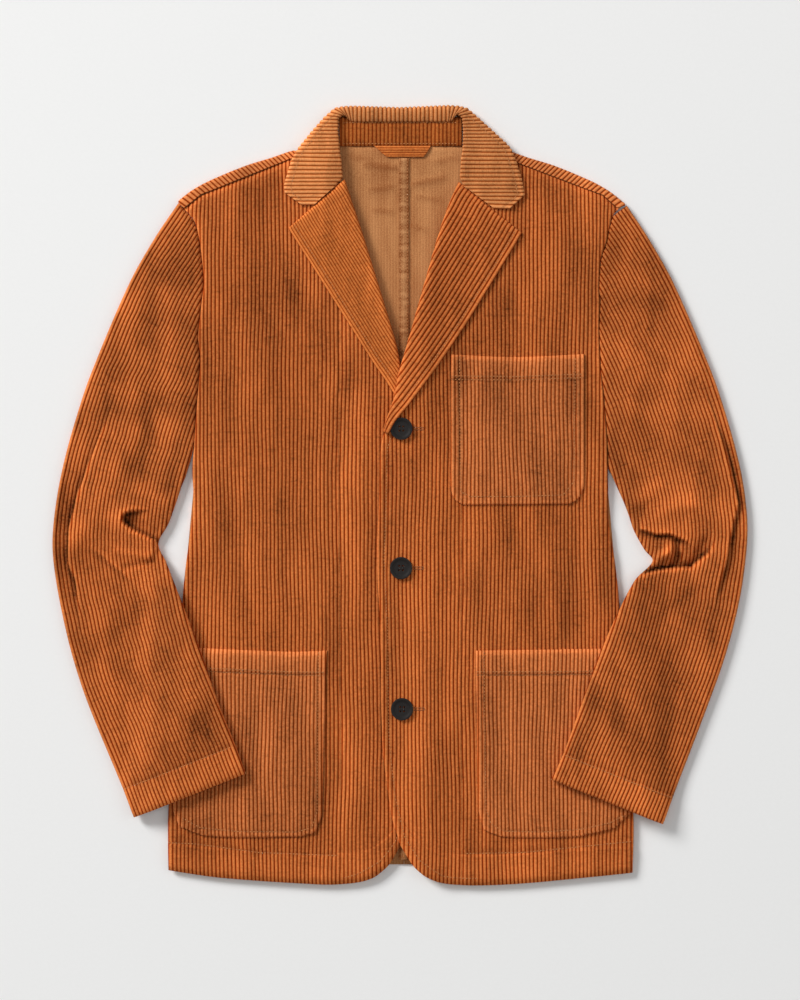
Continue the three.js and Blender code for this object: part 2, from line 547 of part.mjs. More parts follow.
function backHalf(name, sign, side, shoulder, frontRows, pickEnd) {
  const radius = FRONT_TOP / 2;
  const seamX = sign * BACK_SEAM_X + SEAM_GAP / 2;
  const seamEnds = frontRows.map((row) => pickEnd(row).p).map(([x, y]) => ({ x: Math.abs(x), y }));
  const sideEnds = chain([...seamEnds, { x: Math.abs(side(292)), y: 292 }], 'y', 'x');
  const outerX = (y) => sideEnds(y) - ARMHOLE_INSET * ease((y - 10) / 20);
  const put = (x, y, z) => [sign * x, y, z + neckLift(x, y)];
  const upper = [];
  const lower = [];
  for (const share of BACK_ROWS.slice(0, -1)) {
    const rowY = (x) => mix(backHem(x), backFold(x), share);
    const columns = plainColumns(seamX, rowEnd(rowY, outerX, outerX(rowY(200))));
    lower.push(columns.map(({ t }) => ({ t, p: put(t, rowY(t), 0) })));
    upper.push(columns.map(({ t }) => ({ t, p: put(t, rowY(t), BACK_WALL) })));
  }

  // Where cloth that lies past the fold comes to lie: base is its foot on the fold.
  const turnOver = (t, past, arm) => {
    const base = t - STRAP_NORMAL.x * past;
    const angle = Math.min(Math.PI, past / radius);
    const out = arm * Math.sin(angle) - Math.max(0, past - Math.PI * radius);
    const x = base + STRAP_NORMAL.x * out;
    return { x, y: backFold(base) + STRAP_NORMAL.y * out, z: radius - arm * Math.cos(angle), angle };
  };
  const lastPast = (t) => {
    let past = Math.PI * radius + 4;
    for (let i = 0; i < 30; i += 1) {
      const { x, y } = turnOver(t, past, radius);
      past += (y - shoulder(sign * x) - SEAM_GAP * 2) * 0.8;
    }
    return past - STRAP_CORNER.back * ease((t - STRAP_CORNER.from) / STRAP_CORNER.over);
  };
  const turns = [() => 0, ...STRAP_TURN.map((turn) => () => turn * Math.PI * radius), lastPast];
  for (const pastAt of turns) {
    const past = (t) => pastAt(t) * ease((t - STRAP_NONE) / (STRAP_FULL - STRAP_NONE));
    let end = 220;
    for (let i = 0; i < 60; i += 1) {
      const { x, y } = turnOver(end, past(end), radius);
      end += (outerX(y) - x) * 0.6;
    }
    const row = (columns, depth) => columns.map(({ t, ridge }) => {
      const flat = turnOver(t, past(t), radius - depth);
      const shown = turnOver(t, past(t), radius - depth + ridge * WALE_HEIGHT * ease(flat.angle / 1.3 - 1));
      return { t, p: put(flat.x, flat.y, shown.z) };
    });
    const start = STRAP_NONE - 1;
    const neck = plainColumns(seamX, start).slice(0, -1);
    lower.push(row([...neck, ...waleColumns(start, end)], 0));
    upper.push(row([...neck, ...plainColumns(start, end, STRAP_PITCH)], BACK_WALL));
  }
  addPiece(name, sheet(upper, lower), INSIDE_TAN);
}

backHalf('back_right', -1, rightSide, chain(RIGHT_SHOULDER, 'x', 'y'), underFront.upper, (row) => row[0]);
backHalf('back_left', 1, leftSide, chain(LEFT_SHOULDER, 'x', 'y'), overFront.upper, (row) => row.at(-1));

// The binding over the centre-back seam, inside. It has the back's own rows.
{
  const rows = BACK_ROWS.map((share) => {
    const y = mix(backHem(0), backFold(0), share);
    return { y, z: neckLift(0, y) + BACK_WALL + SEAM_GAP };
  });
  const bed = chain(rows, 'y', 'z');
  const ys = [SEAM_STRIP.low, ...rows.slice(1, -1).map(({ y }) => y), SEAM_STRIP.high];
  const xs = [SEAM_STRIP.left, SEAM_STRIP.right];
  const at = (z) => ys.map((y) => xs.map((x) => ({ t: x, p: [x, y, bed(y) + z] })));
  addPiece('centre_back_seam', sheet(at(SEAM_STRIP.thick), at(0)), INSIDE_TAN);
}

// Patch pockets
function pocket(name, shape, below, color) {
  const bandHeight = (share) => (share > shape.band ? BAND_HEIGHT : 0);
  const { upper, lower } = panel({
    low: curve(shape.low, 'x', 'y'),
    high: curve(shape.high, 'x', 'y'),
    left: chain(shape.left, 'y', 'x'),
    right: chain(shape.right, 'y', 'x'),
    rows: shape.rows,
    top: (x, y, share) => below(x, y) + POCKET_RISE + bandHeight(share),
    thick: (share) => WALL + bandHeight(share),
  });
  addPiece(name, sheet(upper, lower), color);
}

pocket('chest_pocket', CHEST_POCKET, overFrontTop, CORDUROY_LIGHT);
pocket('right_pocket', RIGHT_POCKET, frontTop, CORDUROY_LIGHT);
pocket('left_pocket', LEFT_POCKET, overFrontTop, CORDUROY_LIGHT);

// Lapels. Each section starts below the turned edge, rounds it and runs to the free edge.
function lapel(name, sections, bed, ownFront, color) {
  const upper = [];
  const lower = [];
  for (const section of sections) {
    const rise = ROLL_RISE * ease((section.rollY - ROLL_CREST.y) / ROLL_CREST.over);
    const dx = section.edgeX - section.rollX;
    const dy = section.edgeY - section.rollY;
    const width = Math.hypot(dx, dy);
    const at = (d) => [section.rollX + dx * d / width, section.rollY + dy * d / width];
    const turn = Math.min(LAPEL_TURN, width / 3);
    const top = (d) => {
      const [x, y] = at(d);
      return bed(x, y) + LAPEL_RISE + rise * Math.exp(-((d / ROLL_SPREAD) ** 2));
    };
    const bottomZ = ownFront(...at(turn)) - WALL;
    const middle = (top(turn) + bottomZ) / 2;
    const half = top(turn) - middle;
    const roundPoint = (depth) => (f) => {
      const angle = f * Math.PI;
      const [x, y] = at(turn - (turn - depth * TURN_INNER) * Math.sin(angle));
      const t = -width + turn - half * Math.PI * (1 - f);
      return { t, p: [x, y, middle - (half - depth) * Math.cos(angle)] };
    };
    const flat = (columns, depth) => columns.map(({ t, ridge }) => {
      const [x, y] = at(width + t);
      return { t, p: [x, y, top(width + t) - depth + ridge * WALE_HEIGHT] };
    });
    const from = -width + turn;
    upper.push([...TURN_SHARES.slice(0, -1).map(roundPoint(0)), ...flat(waleColumns(from, 0), 0)]);
    lower.push([...TURN_SHARES.slice(0, -1).map(roundPoint(WALL)), ...flat(plainColumns(from, 0), WALL)]);
  }
  addPiece(name, sheet(upper, lower), color);
}

function overLapelBed(x, y) {
  const pastButton = ease((y - CROSSING.buttonY) / CROSSING.buttonOver);
  const rise = mix(BUTTON_CLEARANCE, CROSSING_RISE, pastButton) * crossingFade(y) * crossingAcross(x);
  return frontTop(x, y) + lapping(x) + rise + LAPEL_EXTRA;
}

lapel('right_lapel', RIGHT_LAPEL, frontTop, frontTop, CORDUROY_DARK);
lapel('left_lapel', LEFT_LAPEL, overLapelBed, overFrontTop, CORDUROY_DARK);

// Collar. Each wale is a section: from the stand over the roll line, out, and round underneath.
function collarSection(s) {
  const i = Math.min(COLLAR.length - 2, Math.floor(s));
  const section = {};
  for (const key of Object.keys(COLLAR[0])) section[key] = mix(COLLAR[i][key], COLLAR[i + 1][key], s - i);
  return section;
}

function collarRow(s, ridge, depth) {
  const { rollX, rollY, edgeX, edgeY, width, lead, crest } = collarSection(s);
  const reach = Math.hypot(edgeX - rollX, edgeY - rollY);
  const ux = (edgeX - rollX) / reach;
  const uy = (edgeY - rollY) / reach;
  const wing = clamp01((Math.abs(rollX + edgeX) / 2 - COLLAR_WING.x) / COLLAR_WING.over);
  const topAt = (d) => {
    const x = rollX + ux * d;
    const y = rollY + uy * d;
    const bed = y > NECK_Y ? FRONT_TOP + FALL_LIFT : Math.max(frontTop(x, y), frontTop(x, y + 3));
    const laid = bed + LAPEL_RISE + ROLL_RISE * crest * Math.exp(-((d / ROLL_SPREAD) ** 2));
    return mix(COLLAR_BACK_TOP, laid, wing);
  };
  const at = (d, z) => [rollX + ux * d, rollY + uy * d, z];
  const laidAt = (d) => at(d, topAt(d) - depth + ridge);
  const points = [];
  if (crest < LAID_CREST && wing > 0.5) {
    points.push(laidAt(0), laidAt(Math.min(COLLAR_FIRST, width / 5)));
  } else {
    const under = clamp01((lead + 4) / 6);
    const leadZ = mix(STAND_TOP_Z + 0.3 - depth + ridge, frontTop(rollX, rollY) - 0.2 + depth * 0.7, under);
    const rollZ = mix(COLLAR_BACK_TOP - 0.3 - depth + ridge, topAt(3) - 2.2, under);
    points.push(at(lead + depth * ROLL_INNER * under, leadZ), at(depth * under, rollZ));
  }
  const wraps = width > reach + 0.01;
  const radius = topAt(reach) / 2;
  const start = wraps ? reach - radius : width;
  const quarterTurn = Math.PI * radius / 2;
  const turn = Math.min(COLLAR_FLAT, wraps ? start / 2 : width / 3);
  const knots = wraps
    ? [turn, start, start + quarterTurn, start + 2 * quarterTurn, width]
    : [turn, ...COLLAR_SHARES.map((f) => f * width)];
  for (const p of knots) {
    const away = p - start;
    const angle = Math.min(Math.PI, away / radius);
    const beyond = Math.max(0, away - Math.PI * radius);
    const arm = radius - depth + ridge * (angle < 2 ? 1 : 0);
    if (away <= 0) points.push(laidAt(p));
    else points.push(at(start + arm * Math.sin(angle) - beyond, radius + arm * Math.cos(angle)));
  }
  const row = points.map((p, k) => ({ t: k, p }));
  row.v = s;
  return row;
}

{
  const upper = [];
  const lower = [];
  for (const { from, to, wales } of COLLAR_WALES) {
    const steps = wales * 2;
    for (let k = from === 0 ? 0 : 1; k <= steps; k += 1) {
      const ridge = k % 2 === 1 ? WALE_HEIGHT : 0;
      upper.push(collarRow(mix(from, to, k / steps), ridge, 0));
    }
  }
  for (let s = 0; s < COLLAR.length; s += 0.5) {
    const isTurn = COLLAR_TURNS.some(({ from, to }) => s > from && s < to);
    if (Number.isInteger(s) || isTurn) lower.push(collarRow(s, 0, WALL));
  }
  addPiece('collar', sheet(upper, lower), CORDUROY_LIGHT);
}

// Collar stand, inside the back of the neck
{
  const top = (x, y) => mix(STAND_LOW_Z, STAND_TOP_Z, (y - STAND.low) / (STAND.high - STAND.low));
  const { upper, lower } = panel({
    low: () => STAND.low,
    high: () => STAND.high,
    left: () => STAND.left,
    right: () => STAND.right,
    rows: [0, 1],
    top,
    thick: () => WALL,
  });
  addPiece('collar_stand', sheet(upper, lower), CORDUROY_DARK);
}

// Hanger loop, flat under the stand
{
  const rows = (z) => LOOP.map(({ y, left, right }, k) => [0, 0.5, 1].map((f) => {
    const x = mix(left, right, f);
    const crown = z > 0 && k === 1 ? LOOP_CROWN : 0;
    return { t: f, p: [x, y, FALL_LIFT + BACK_WALL + SEAM_GAP + z + crown] };
  }));
  addPiece('hanger_loop', sheet(rows(WALL), rows(0)), CORDUROY_LIGHT);
}

// Sleeves. The first ring follows the armhole seam.
function sleeve(name, sections, folds, side, frontRows, pickEnd, color) {
  const sign = Math.sign(sections[0].outX);
  const first = sections[0];
  const seam = frontRows.map((row) => pickEnd(row).p).filter(([, y]) => y > first.inY);
  const armhole = chain([
    { y: first.inY, x: first.inX },
    ...seam.map(([x, y]) => ({ y, x: x + sign * SEAM_GAP })),
    { y: first.outY, x: first.outX },
  ], 'y', 'x');
  const bow = (t) => {
    const y = mix(first.outY, first.inY, t);
    return armhole(y) - mix(first.outX, first.inX, t);
  };
  const underside = (x, y) => {
    const inside = sign < 0 ? x - side(y) : side(y) - x;
    return SLEEVE_OVER_BODY * ease((inside + SLEEVE_CLIMB.beside) / SLEEVE_CLIMB.over)
        * ease((SLEEVE_CLIMB.y - y) / SLEEVE_CLIMB.overY);
  };
  const rings = [];
  sections.forEach((section, k) => {
    const next = sections[Math.min(k + 1, sections.length - 1)];
    const steps = k < sections.length - 1 ? (SLEEVE_EXTRA_STEPS[k] ?? 0) + 1 : 1;
    for (let step = 0; step < steps; step += 1) {
      const f = step / steps;
      const outX = mix(section.outX, next.outX, f);
      const outY = mix(section.outY, next.outY, f);
      const inX = mix(section.inX, next.inX, f);
      const inY = mix(section.inY, next.inY, f);
      const width = Math.hypot(inX - outX, inY - outY);
      const isBand = k >= sections.length - 2;
      const fade = ARMHOLE_FADE[k] ?? 0;
      const half = SLEEVE_THICK / 2;
      const spot = (t) => [mix(outX, inX, t) + bow(t) * fade, mix(outY, inY, t)];
      const swell = (t, depth) => {
        const edge = Math.min(t, 1 - t) * width - depth;
        const near = clamp01(1 - edge / (SLEEVE_ROUND - depth));
        return (half - depth) * Math.sqrt(Math.max(0, 1 - near * near));
      };
      const row = (shares, upward, depth, waled) => shares.map((t) => {
        const [x, y] = spot(t);
        const isRidge = waled && Math.round(t * SLEEVE_WALES * 2) % 2 === 1;
        const edge = Math.min(t, 1 - t) * width;
        const inner = clamp01((edge - SLEEVE_SMOOTH.edge) / SLEEVE_SMOOTH.over);
        const fold = upward > 0 ? foldHeight(folds, x, y) * inner : 0;
        const band = upward > 0 && isBand && depth === 0 ? BAND_HEIGHT * inner : 0;
        const ridge = isRidge ? WALE_HEIGHT : 0;
        const z = underside(x, y) + half + upward * swell(t, depth) + fold + band + ridge;
        return { t, p: [x, y, z] };
      });
      const edgeShare = WALL / width;
      const isFirst = k === 0;
      const isNear = k < 2;
      const spans = SLEEVE_SPANS;
      const roundShare = SLEEVE_ROUND / width;
      const fine = Array.from({ length: SLEEVE_WALES * 2 + 1 }, (_, i) => i / (SLEEVE_WALES * 2));
      const coarse = (from, turn, count) => [from, turn,
        ...Array.from({ length: count }, (_, i) => mix(turn, 1 - turn, (i + 1) / (count + 1))),
        1 - turn, 1 - from];
      rings.push({
        outerTop: row(fine, 1, 0, true),
        outerBottom: row(coarse(0, roundShare, isFirst ? spans.armholeUnder : spans.outer), -1, 0, false),
        innerTop: row(coarse(edgeShare, roundShare, isNear ? spans.armhole : spans.innerTop), 1, WALL, false),
        innerBottom: row(coarse(edgeShare, roundShare, isNear ? spans.armhole : spans.innerBottom), -1, WALL, false),
      });
    }
  });
  addPiece(name, tube(rings), color);
}

sleeve('right_sleeve', RIGHT_SLEEVE, RIGHT_FOLDS, rightSide, underFront.upper, (row) => row[0], CORDUROY);
sleeve('left_sleeve', LEFT_SLEEVE, LEFT_FOLDS, leftSide, overFront.upper, (row) => row.at(-1), CORDUROY);

// Four-hole buttons with a small rounded rim
for (const { name, x, y } of BUTTONS) {
  const radius = BUTTON_RADIUS - BUTTON_BEVEL;
  const face = new THREE.Shape();
  face.absarc(0, 0, radius, 0, Math.PI * 2);
  for (const [i, j] of [[1, 1], [1, -1], [-1, 1], [-1, -1]]) {
    const hole = new THREE.Path();
    const around = BUTTON_HOLE_RADIUS + BUTTON_BEVEL;
    hole.absarc(i * BUTTON_HOLE_OFFSET, j * BUTTON_HOLE_OFFSET, around, 0, Math.PI * 2, true);
    face.holes.push(hole);
  }
  const outline = face.extractPoints(BUTTON_SEGMENTS / 2);
  const ring = (points, count) => points.filter((_, i) => i % Math.ceil(points.length / count) === 0);
  const shape = new THREE.Shape(ring(outline.shape, BUTTON_SEGMENTS));
  shape.holes = outline.holes.map((points) => new THREE.Path(ring(points, BUTTON_HOLE_SEGMENTS)));
  const geometry = new THREE.ExtrudeGeometry(shape, {
    depth: BUTTON_THICK - 2 * BUTTON_BEVEL,
    bevelThickness: BUTTON_BEVEL,
    bevelSize: BUTTON_BEVEL,
    bevelSegments: 1,
  });
  const mesh = addMesh(name, geometry, HORN, 0.4);
  const crossingGap = y > 0 ? SEAM_GAP : 0;
  const bed = Math.max(overFrontTop(x, y), overFrontTop(x, y + BUTTON_RADIUS) + crossingGap);
  const height = bed + WALE_HEIGHT + SEAM_GAP + BUTTON_BEVEL;
  mesh.position.set(x, y, height);
}

export default jacket;
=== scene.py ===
"""A corduroy jacket laid flat and buttoned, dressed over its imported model.

Lengths in the tables are millimetres in the row frame: x to the right of someone looking down at the jacket,
y towards the collar and z up from the surface it lies on.
"""

import math

import bpy
import numpy as np
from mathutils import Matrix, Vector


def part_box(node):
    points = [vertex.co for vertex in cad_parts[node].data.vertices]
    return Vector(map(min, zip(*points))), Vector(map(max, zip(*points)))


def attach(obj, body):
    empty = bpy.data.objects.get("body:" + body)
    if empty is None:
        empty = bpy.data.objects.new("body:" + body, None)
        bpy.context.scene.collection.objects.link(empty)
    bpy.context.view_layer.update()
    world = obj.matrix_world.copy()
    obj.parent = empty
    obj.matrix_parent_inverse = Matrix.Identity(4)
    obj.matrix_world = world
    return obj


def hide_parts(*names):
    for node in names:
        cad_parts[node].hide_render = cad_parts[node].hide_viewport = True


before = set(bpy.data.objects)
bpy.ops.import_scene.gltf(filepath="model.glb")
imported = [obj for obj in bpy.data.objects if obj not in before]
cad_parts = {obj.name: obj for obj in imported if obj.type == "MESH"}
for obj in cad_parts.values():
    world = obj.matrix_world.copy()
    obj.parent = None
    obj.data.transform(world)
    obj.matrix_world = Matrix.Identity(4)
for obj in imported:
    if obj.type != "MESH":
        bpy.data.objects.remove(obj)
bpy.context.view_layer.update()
bpy.ops.object.select_all(action="DESELECT")

MM = 0.001

# Cloth
WALL = 1.5
BACK_WALL = 1.7
WALE = 3.92
COLLAR_WALE = 4.25
SLEEVE_WALE = 3.75
WALE_HEIGHT = 0.8
BAND_HEIGHT = 0.8
SEAM_GAP = 0.3
LAY_GAP = 0.6

# Heights of the layers, at the grooves between wales
FRONT_TOP = 6.5
SIDE_TOP = 3.8
SIDE_ROUND = 8
LAP_RISE = 3.4
CROSSING_RISE = 2.2
BUTTON_CLEARANCE = 3.4
LAPEL_EXTRA = 0.15
FALL_LIFT = 2.1
POCKET_RISE = WALE_HEIGHT + SEAM_GAP + WALL
LAPEL_RISE = WALE_HEIGHT + LAY_GAP + WALL
COLLAR_BACK_TOP = 9
STAND_TOP_Z = 6.7
STAND_LOW_Z = 5.2

# A wale's corners across one pitch, and how high each stands as a share of the whole height
ACROSS = np.array([0.0, 0.13, 0.3, 0.5, 0.7, 0.87])
STANDS = np.array([0.0, 0.5, 0.88, 1.0, 0.88, 0.5])

RIGHT_SIDE = {
    "y": [-374.5, -347.5, -311.5, -105.5, -68.5, -29.5, 0.5, 26.5, 46.5, 80.5, 135.5, 158.5, 191.5,
          213.5, 249.5, 265.5, 275.5, 285.5, 293.5],
    "x": [-232, -232.5, -232, -218, -214.5, -209, -207, -208, -206.5, -204.3, -200, -202, -199,
          -196.5, -200, -203, -206.5, -215, -222.5],
}
RIGHT_EDGE = {
    "y": [-349.7, -341.5, -326.5, -303.5, -271.5, -250.5, -190, 50, 66.5, 80, 100, 125.5, 148.7,
          178.1, 211.8, 239.2, 266.5, 291.8, 317.5, 354.5],
    "x": [0.1, 4, 9, 13, 17.3, 19.4, 21, 21, 17, 12, 5.8, -1.9, -6.6,
          -15, -25.4, -33.9, -42.4, -50.8, -61.8, -66.5],
}
RIGHT_HEM = {
    "x": [-232, -179.5, -78.4, -56, -39.3, -26.8, -18.5, -11.1, -6.1, -2, 0.1],
    "y": [-375, -382.5, -389.3, -388.7, -386.6, -382.5, -376.6, -369.6, -361.7, -354.3, -349.7],
}
RIGHT_SHOULDER = {
    "x": [-215, -199, -110.5, -104, -97, -65],
    "y": [287.5, 300.5, 336, 337.2, 338, 352],
}
LEFT_SIDE = {
    "y": [-377.5, -320.5, -104.5, -63.5, -38.5, -18.5, 8.5, 26.5, 57.5, 102.5, 124.5, 169.5, 193.5,
          209.5, 236.5, 251.5, 277.5, 285.5, 291.5],
    "x": [233, 234, 219.5, 215, 211, 208.5, 208.5, 208, 207, 203.5, 201, 199, 200,
          199, 201, 206, 212, 217, 226],
}
LEFT_EDGE = {
    "y": [-349.7, -341.5, -326.5, -303.5, -271.5, -250.5, -194.5, -144.5, -63.5, 0.5, 46.5, 60.5,
          77.6, 97.1, 121.5, 150.8, 195, 224.5, 253.9, 279.5, 304.5, 315, 352],
    "x": [0.1, -2, -7, -11, -15.3, -17.4, -19, -19, -23, -20.6, -19.5, -16.5,
          -9.2, -2.3, 2.4, 10.8, 23.4, 31.8, 40.2, 48.4, 58.1, 63.6, 68.5],
}
LEFT_HEM = {
    "x": [0.1, 3, 8, 13, 19.6, 27.9, 39.5, 52, 78, 123, 184, 233],
    "y": [-349.7, -354.3, -362.5, -370, -376.6, -382.4, -387, -389.1, -390.2, -388.2, -382.5, -377.5],
}
LEFT_SHOULDER = {
    "x": [67, 97, 106, 120, 203, 217],
    "y": [350, 337.5, 336.2, 331.5, 300, 287.5],
}
HEM_BAND_TOP = 0.0405
ROLL_INSET = 1.1

SHOULDER_FOLD = {
    "x": [0, 60, 84, 98, 106, 128, 154, 190, 206, 215, 224],
    "y": [350.3, 350.3, 344, 341, 342, 335, 326.9, 311.9, 303.2, 296.6, 289],
}
BACK_HEM = {"x": [0, 60, 180, 233], "y": [-369.5, -370, -371, -371.5]}
BACK_SEAM_X = 4
ARMHOLE_INSET = 0.4
STRAP_NORMAL = {"x": 0.4, "y": 0.9165}
STRAP_FULL = 109
STRAP_NONE = 101

RIGHT_LAPEL = {
    "roll_x": [9.3, 5.9, 1.5, -3.2, -11.6, -22, -30.5, -39, -47.4, -55.4],
    "roll_y": [99.5, 111, 125.5, 148.7, 178.1, 211.8, 239.2, 266.5, 291.8, 316],
    "edge_x": [-2, -8, -15.5, -29.3, -45.5, -64.3, -79.6, -94.9, -109.2, -111.6],
    "edge_y": [94.5, 104.6, 116.5, 136.5, 162.3, 192, 216.3, 240.4, 263, 267.5],
}
LEFT_LAPEL = {
    "roll_x": [-16.5, -12.6, -5.7, -1, 7.4, 20, 28.4, 36.8, 45, 50, 58.6],
    "roll_y": [63.5, 77.6, 97.1, 121.5, 150.8, 195, 224.5, 253.9, 279.5, 292.5, 313.4],
    "edge_x": [-11.5, -4.6, 8.8, 23.6, 41.6, 67.3, 83.4, 99.4, 113.3, 120.3, 122],
    "edge_y": [61, 73.9, 90.3, 110, 134.8, 172.9, 198.8, 224.7, 247.6, 259.7, 262.7],
}
LAPEL_TURN = 2.9
ROLL_RISE = 1.5
ROLL_SPREAD = 12

# Collar sections from the wearer's right tip round the back of the neck to the left tip
COLLAR = {
    "roll_x": [-86, -80.6, -72.6, -64.6, -56, -57.5, -59, -59.4, -60.7, -61.2, -59.2, -54, -46, 0,
               48, 56, 61, 62.3, 62.3, 61.8, 61.6, 60, 59, 63.6, 75.9, 86.7, 94.6],
    "roll_y": [290.5, 295.5, 302.5, 309.5, 317.5, 335.5, 343.5, 348.5, 363.1, 377, 383, 382.5, 382.4, 381,
               383.4, 383, 383.5, 377, 363.1, 350.5, 345.5, 335.5, 317.5, 309.5, 300.5, 292.5, 286.8],
    "edge_x": [-98.2, -105.2, -115, -116, -113.8, -108, -103.8, -100, -88, -75, -65.3, -56.5, -46, 0,
               48, 59, 67, 77, 93, 107, 111.5, 115.5, 121.6, 123, 124.8, 115, 109.4],
    "edge_y": [290.5, 295.5, 302.5, 309.5, 317.5, 336.5, 343.5, 348.5, 363.5, 378, 386.7, 388.6, 389, 387.5,
               389.6, 389, 386.7, 378, 363.5, 350.5, 345, 335.5, 317.5, 309.5, 300.5, 291.5, 286.5],
    "width": [12.2, 24.6, 42.4, 51.4, 57.8, 50.5, 44.8, 55.5, 52, 37, 27, 36, 46, 46,
              46, 36, 27, 37, 52, 58, 49.9, 55.5, 62.6, 59.4, 48.9, 28.3, 14.8],
    "lead": [1.5, 1.5, 1.5, 1.5, 2.2, 2.2, 2.2, 2.2, 2.2, 1, -4, -7, -7.9, -6.5,
             -8.9, -8, -4, 1, 2.2, 2.2, 2.2, 2.2, 2.2, 1.5, 1.5, 1.5, 1.5],
    "crest": [0, 0, 0, 0.3, 1, 1, 1, 1, 1, 1, 0.8, 0.5, 0.3, 0.3,
              0.3, 0.5, 0.8, 1, 1, 1, 1, 1, 1, 0.3, 0, 0, 0],
}
STAND = {"left": -60.8, "right": 62.2, "low": 349.6, "high": 379}
LOOP = {"y": [338.4, 343, 350.1], "left": [-12.6, -18.5, -26], "right": [23.4, 27, 30.8]}
SEAM_STRIP = {"left": -1.1, "right": 8.9, "low": -365, "high": 337.6, "thick": 1}

CHEST_POCKET = {
    "left": {"y": [-9.8, -8.6, -5.6, -1, 4.5, 12, 141.5], "x": [66, 61, 56.2, 52.8, 50.9, 50.4, 51]},
    "right": {"y": [-9, -7.6, -4.4, 0.6, 7, 16, 141.5], "x": [166, 171.5, 177, 181, 183.4, 184.4, 184.4]},
    "low": {"x": [50, 185], "y": [-9.8, -8.6]},
    "high": {"x": [50, 117, 185], "y": [141, 138.5, 141.5]},
    "band": 0.832,
}
RIGHT_POCKET = {
    "left": {"y": [-342.5, -339, -330.8, -311.5, -152], "x": [-180, -200.5, -221, -228.5, -213]},
    "right": {"y": [-342.5, -337.1, -320, -175, -155], "x": [-104, -85, -77.8, -74.2, -73.2]},
    "low": {"x": [-230, -162, -75], "y": [-340, -342.5, -341.5]},
    "high": {"x": [-230, -112, -73], "y": [-151, -156.1, -155]},
    "band": 0.88,
}
LEFT_POCKET = {
    "left": {"y": [-342.7, -341.8, -334.5, -314.5, -155], "x": [110, 102, 84, 78, 75.9]},
    "right": {"y": [-342.7, -339.8, -332.5, -318.5, -153], "x": [170, 184, 214.7, 230, 215]},
    "low": {"x": [75, 143, 230], "y": [-341.5, -342.9, -340]},
    "high": {"x": [75, 200, 220], "y": [-155.1, -153.1, -152.6]},
    "band": 0.87,
}

# Sleeve sections from the armhole to the cuff: the outer and the inner edge
RIGHT_SLEEVE = {
    "out_x": [-221.5, -247, -272, -310, -325, -336, -344, -348, -346, -338, -327, -312, -277.4, -277, -266.3],
    "out_y": [293.5, 255.5, 210.5, 120.5, 75.5, 35.5, -4.5, -44.5, -74.5, -119.5, -164.5, -209.5,
              -293.5, -294.7, -322],
    "in_x": [-207, -207.8, -209, -214.5, -219, -225, -232, -242, -234, -214, -196, -183, -164, -163.6, -154],
    "in_y": [48.5, 43.5, 37.5, 19.5, 8.5, -9.5, -28.5, -48.5, -66.5, -115.5, -163.5, -201.5,
             -249.5, -250.7, -277.5],
}
LEFT_SLEEVE = {
    "out_x": [227, 250, 274, 312, 328, 340, 346, 348, 346, 340, 329, 314, 273.4, 273, 263],
    "out_y": [290.5, 255.5, 212.5, 123.5, 75.5, 30.5, -4.5, -34.5, -64.5, -104.5, -149.5, -194.5,
              -301.2, -302.4, -328.5],
    "in_x": [208.4, 209.8, 212.4, 220, 224, 229, 234, 245, 253, 234, 212, 196, 163.2, 162.7, 151],
    "in_y": [27, 24.5, 19.5, 2.5, -6.5, -19.5, -34.5, -54.5, -65.5, -85.5, -128.5, -166.5,
             -257.2, -258.4, -283.5],
}
SLEEVE_THICK = 6.5
SLEEVE_ROUND = 3.6
SLEEVE_OVER_BODY = 11.2
ARMHOLE_FADE = {"section": [0, 1, 2, 3, 4], "share": [1, 0.62, 0.34, 0.08, 0]}


def mix(a, b, share):
    return a + (b - a) * share


def clamp01(value):
    return np.clip(value, 0, 1)


def ease(value):
    return clamp01(value) ** 2 * (3 - 2 * clamp01(value))


def curve(table, key, value):
    """A smooth line through the rows of a table: value as a function of key."""
    order = np.argsort(table[key])
    keys = np.array(table[key], float)[order]
    values = np.array(table[value], float)[order]
    last = len(keys) - 1
    before = np.maximum(np.arange(last + 1) - 1, 0)
    after = np.minimum(np.arange(last + 1) + 1, last)
    slope = (values[after] - values[before]) / (keys[after] - keys[before])

    def at(k):
        k = np.clip(k, keys[0], keys[-1])
        i = np.clip(np.searchsorted(keys, k, side="right") - 1, 0, last - 1)
        span = keys[i + 1] - keys[i]
        f = (k - keys[i]) / span
        rise = 3 * f * f - 2 * f**3
        bend = slope[i] * (f - 2 * f * f + f**3) + slope[i + 1] * (f**3 - f * f)
        return values[i] * (1 - rise) + values[i + 1] * rise + span * bend

    return at


def chain(table, key, value):
    """The same, with straight lines between the rows."""
    order = np.argsort(table[key])
    keys = np.array(table[key], float)[order]
    values = np.array(table[value], float)[order]
    return lambda k: np.interp(k, keys, values)


def sections_of(table, steps):
    """Rows of a table of sections at the given steps along it, on a smooth line."""
    count = len(next(iter(table.values())))
    numbered = dict(table, section=list(range(count)))
    return {key: curve(numbered, "section", key)(steps) for key in table}


def away_from(line, x, y):
    """Distance from a line of x and y points, in millimetres."""
    xs = line["x"]
    ys = line["y"]
    nearest = np.full(np.shape(x), 1e9)
    for i in range(len(xs) - 1):
        dx = xs[i + 1] - xs[i]
        dy = ys[i + 1] - ys[i]
        f = clamp01(((x - xs[i]) * dx + (y - ys[i]) * dy) / (dx * dx + dy * dy))
        nearest = np.minimum(nearest, np.hypot(x - xs[i] - dx * f, y - ys[i] - dy * f))
    return nearest


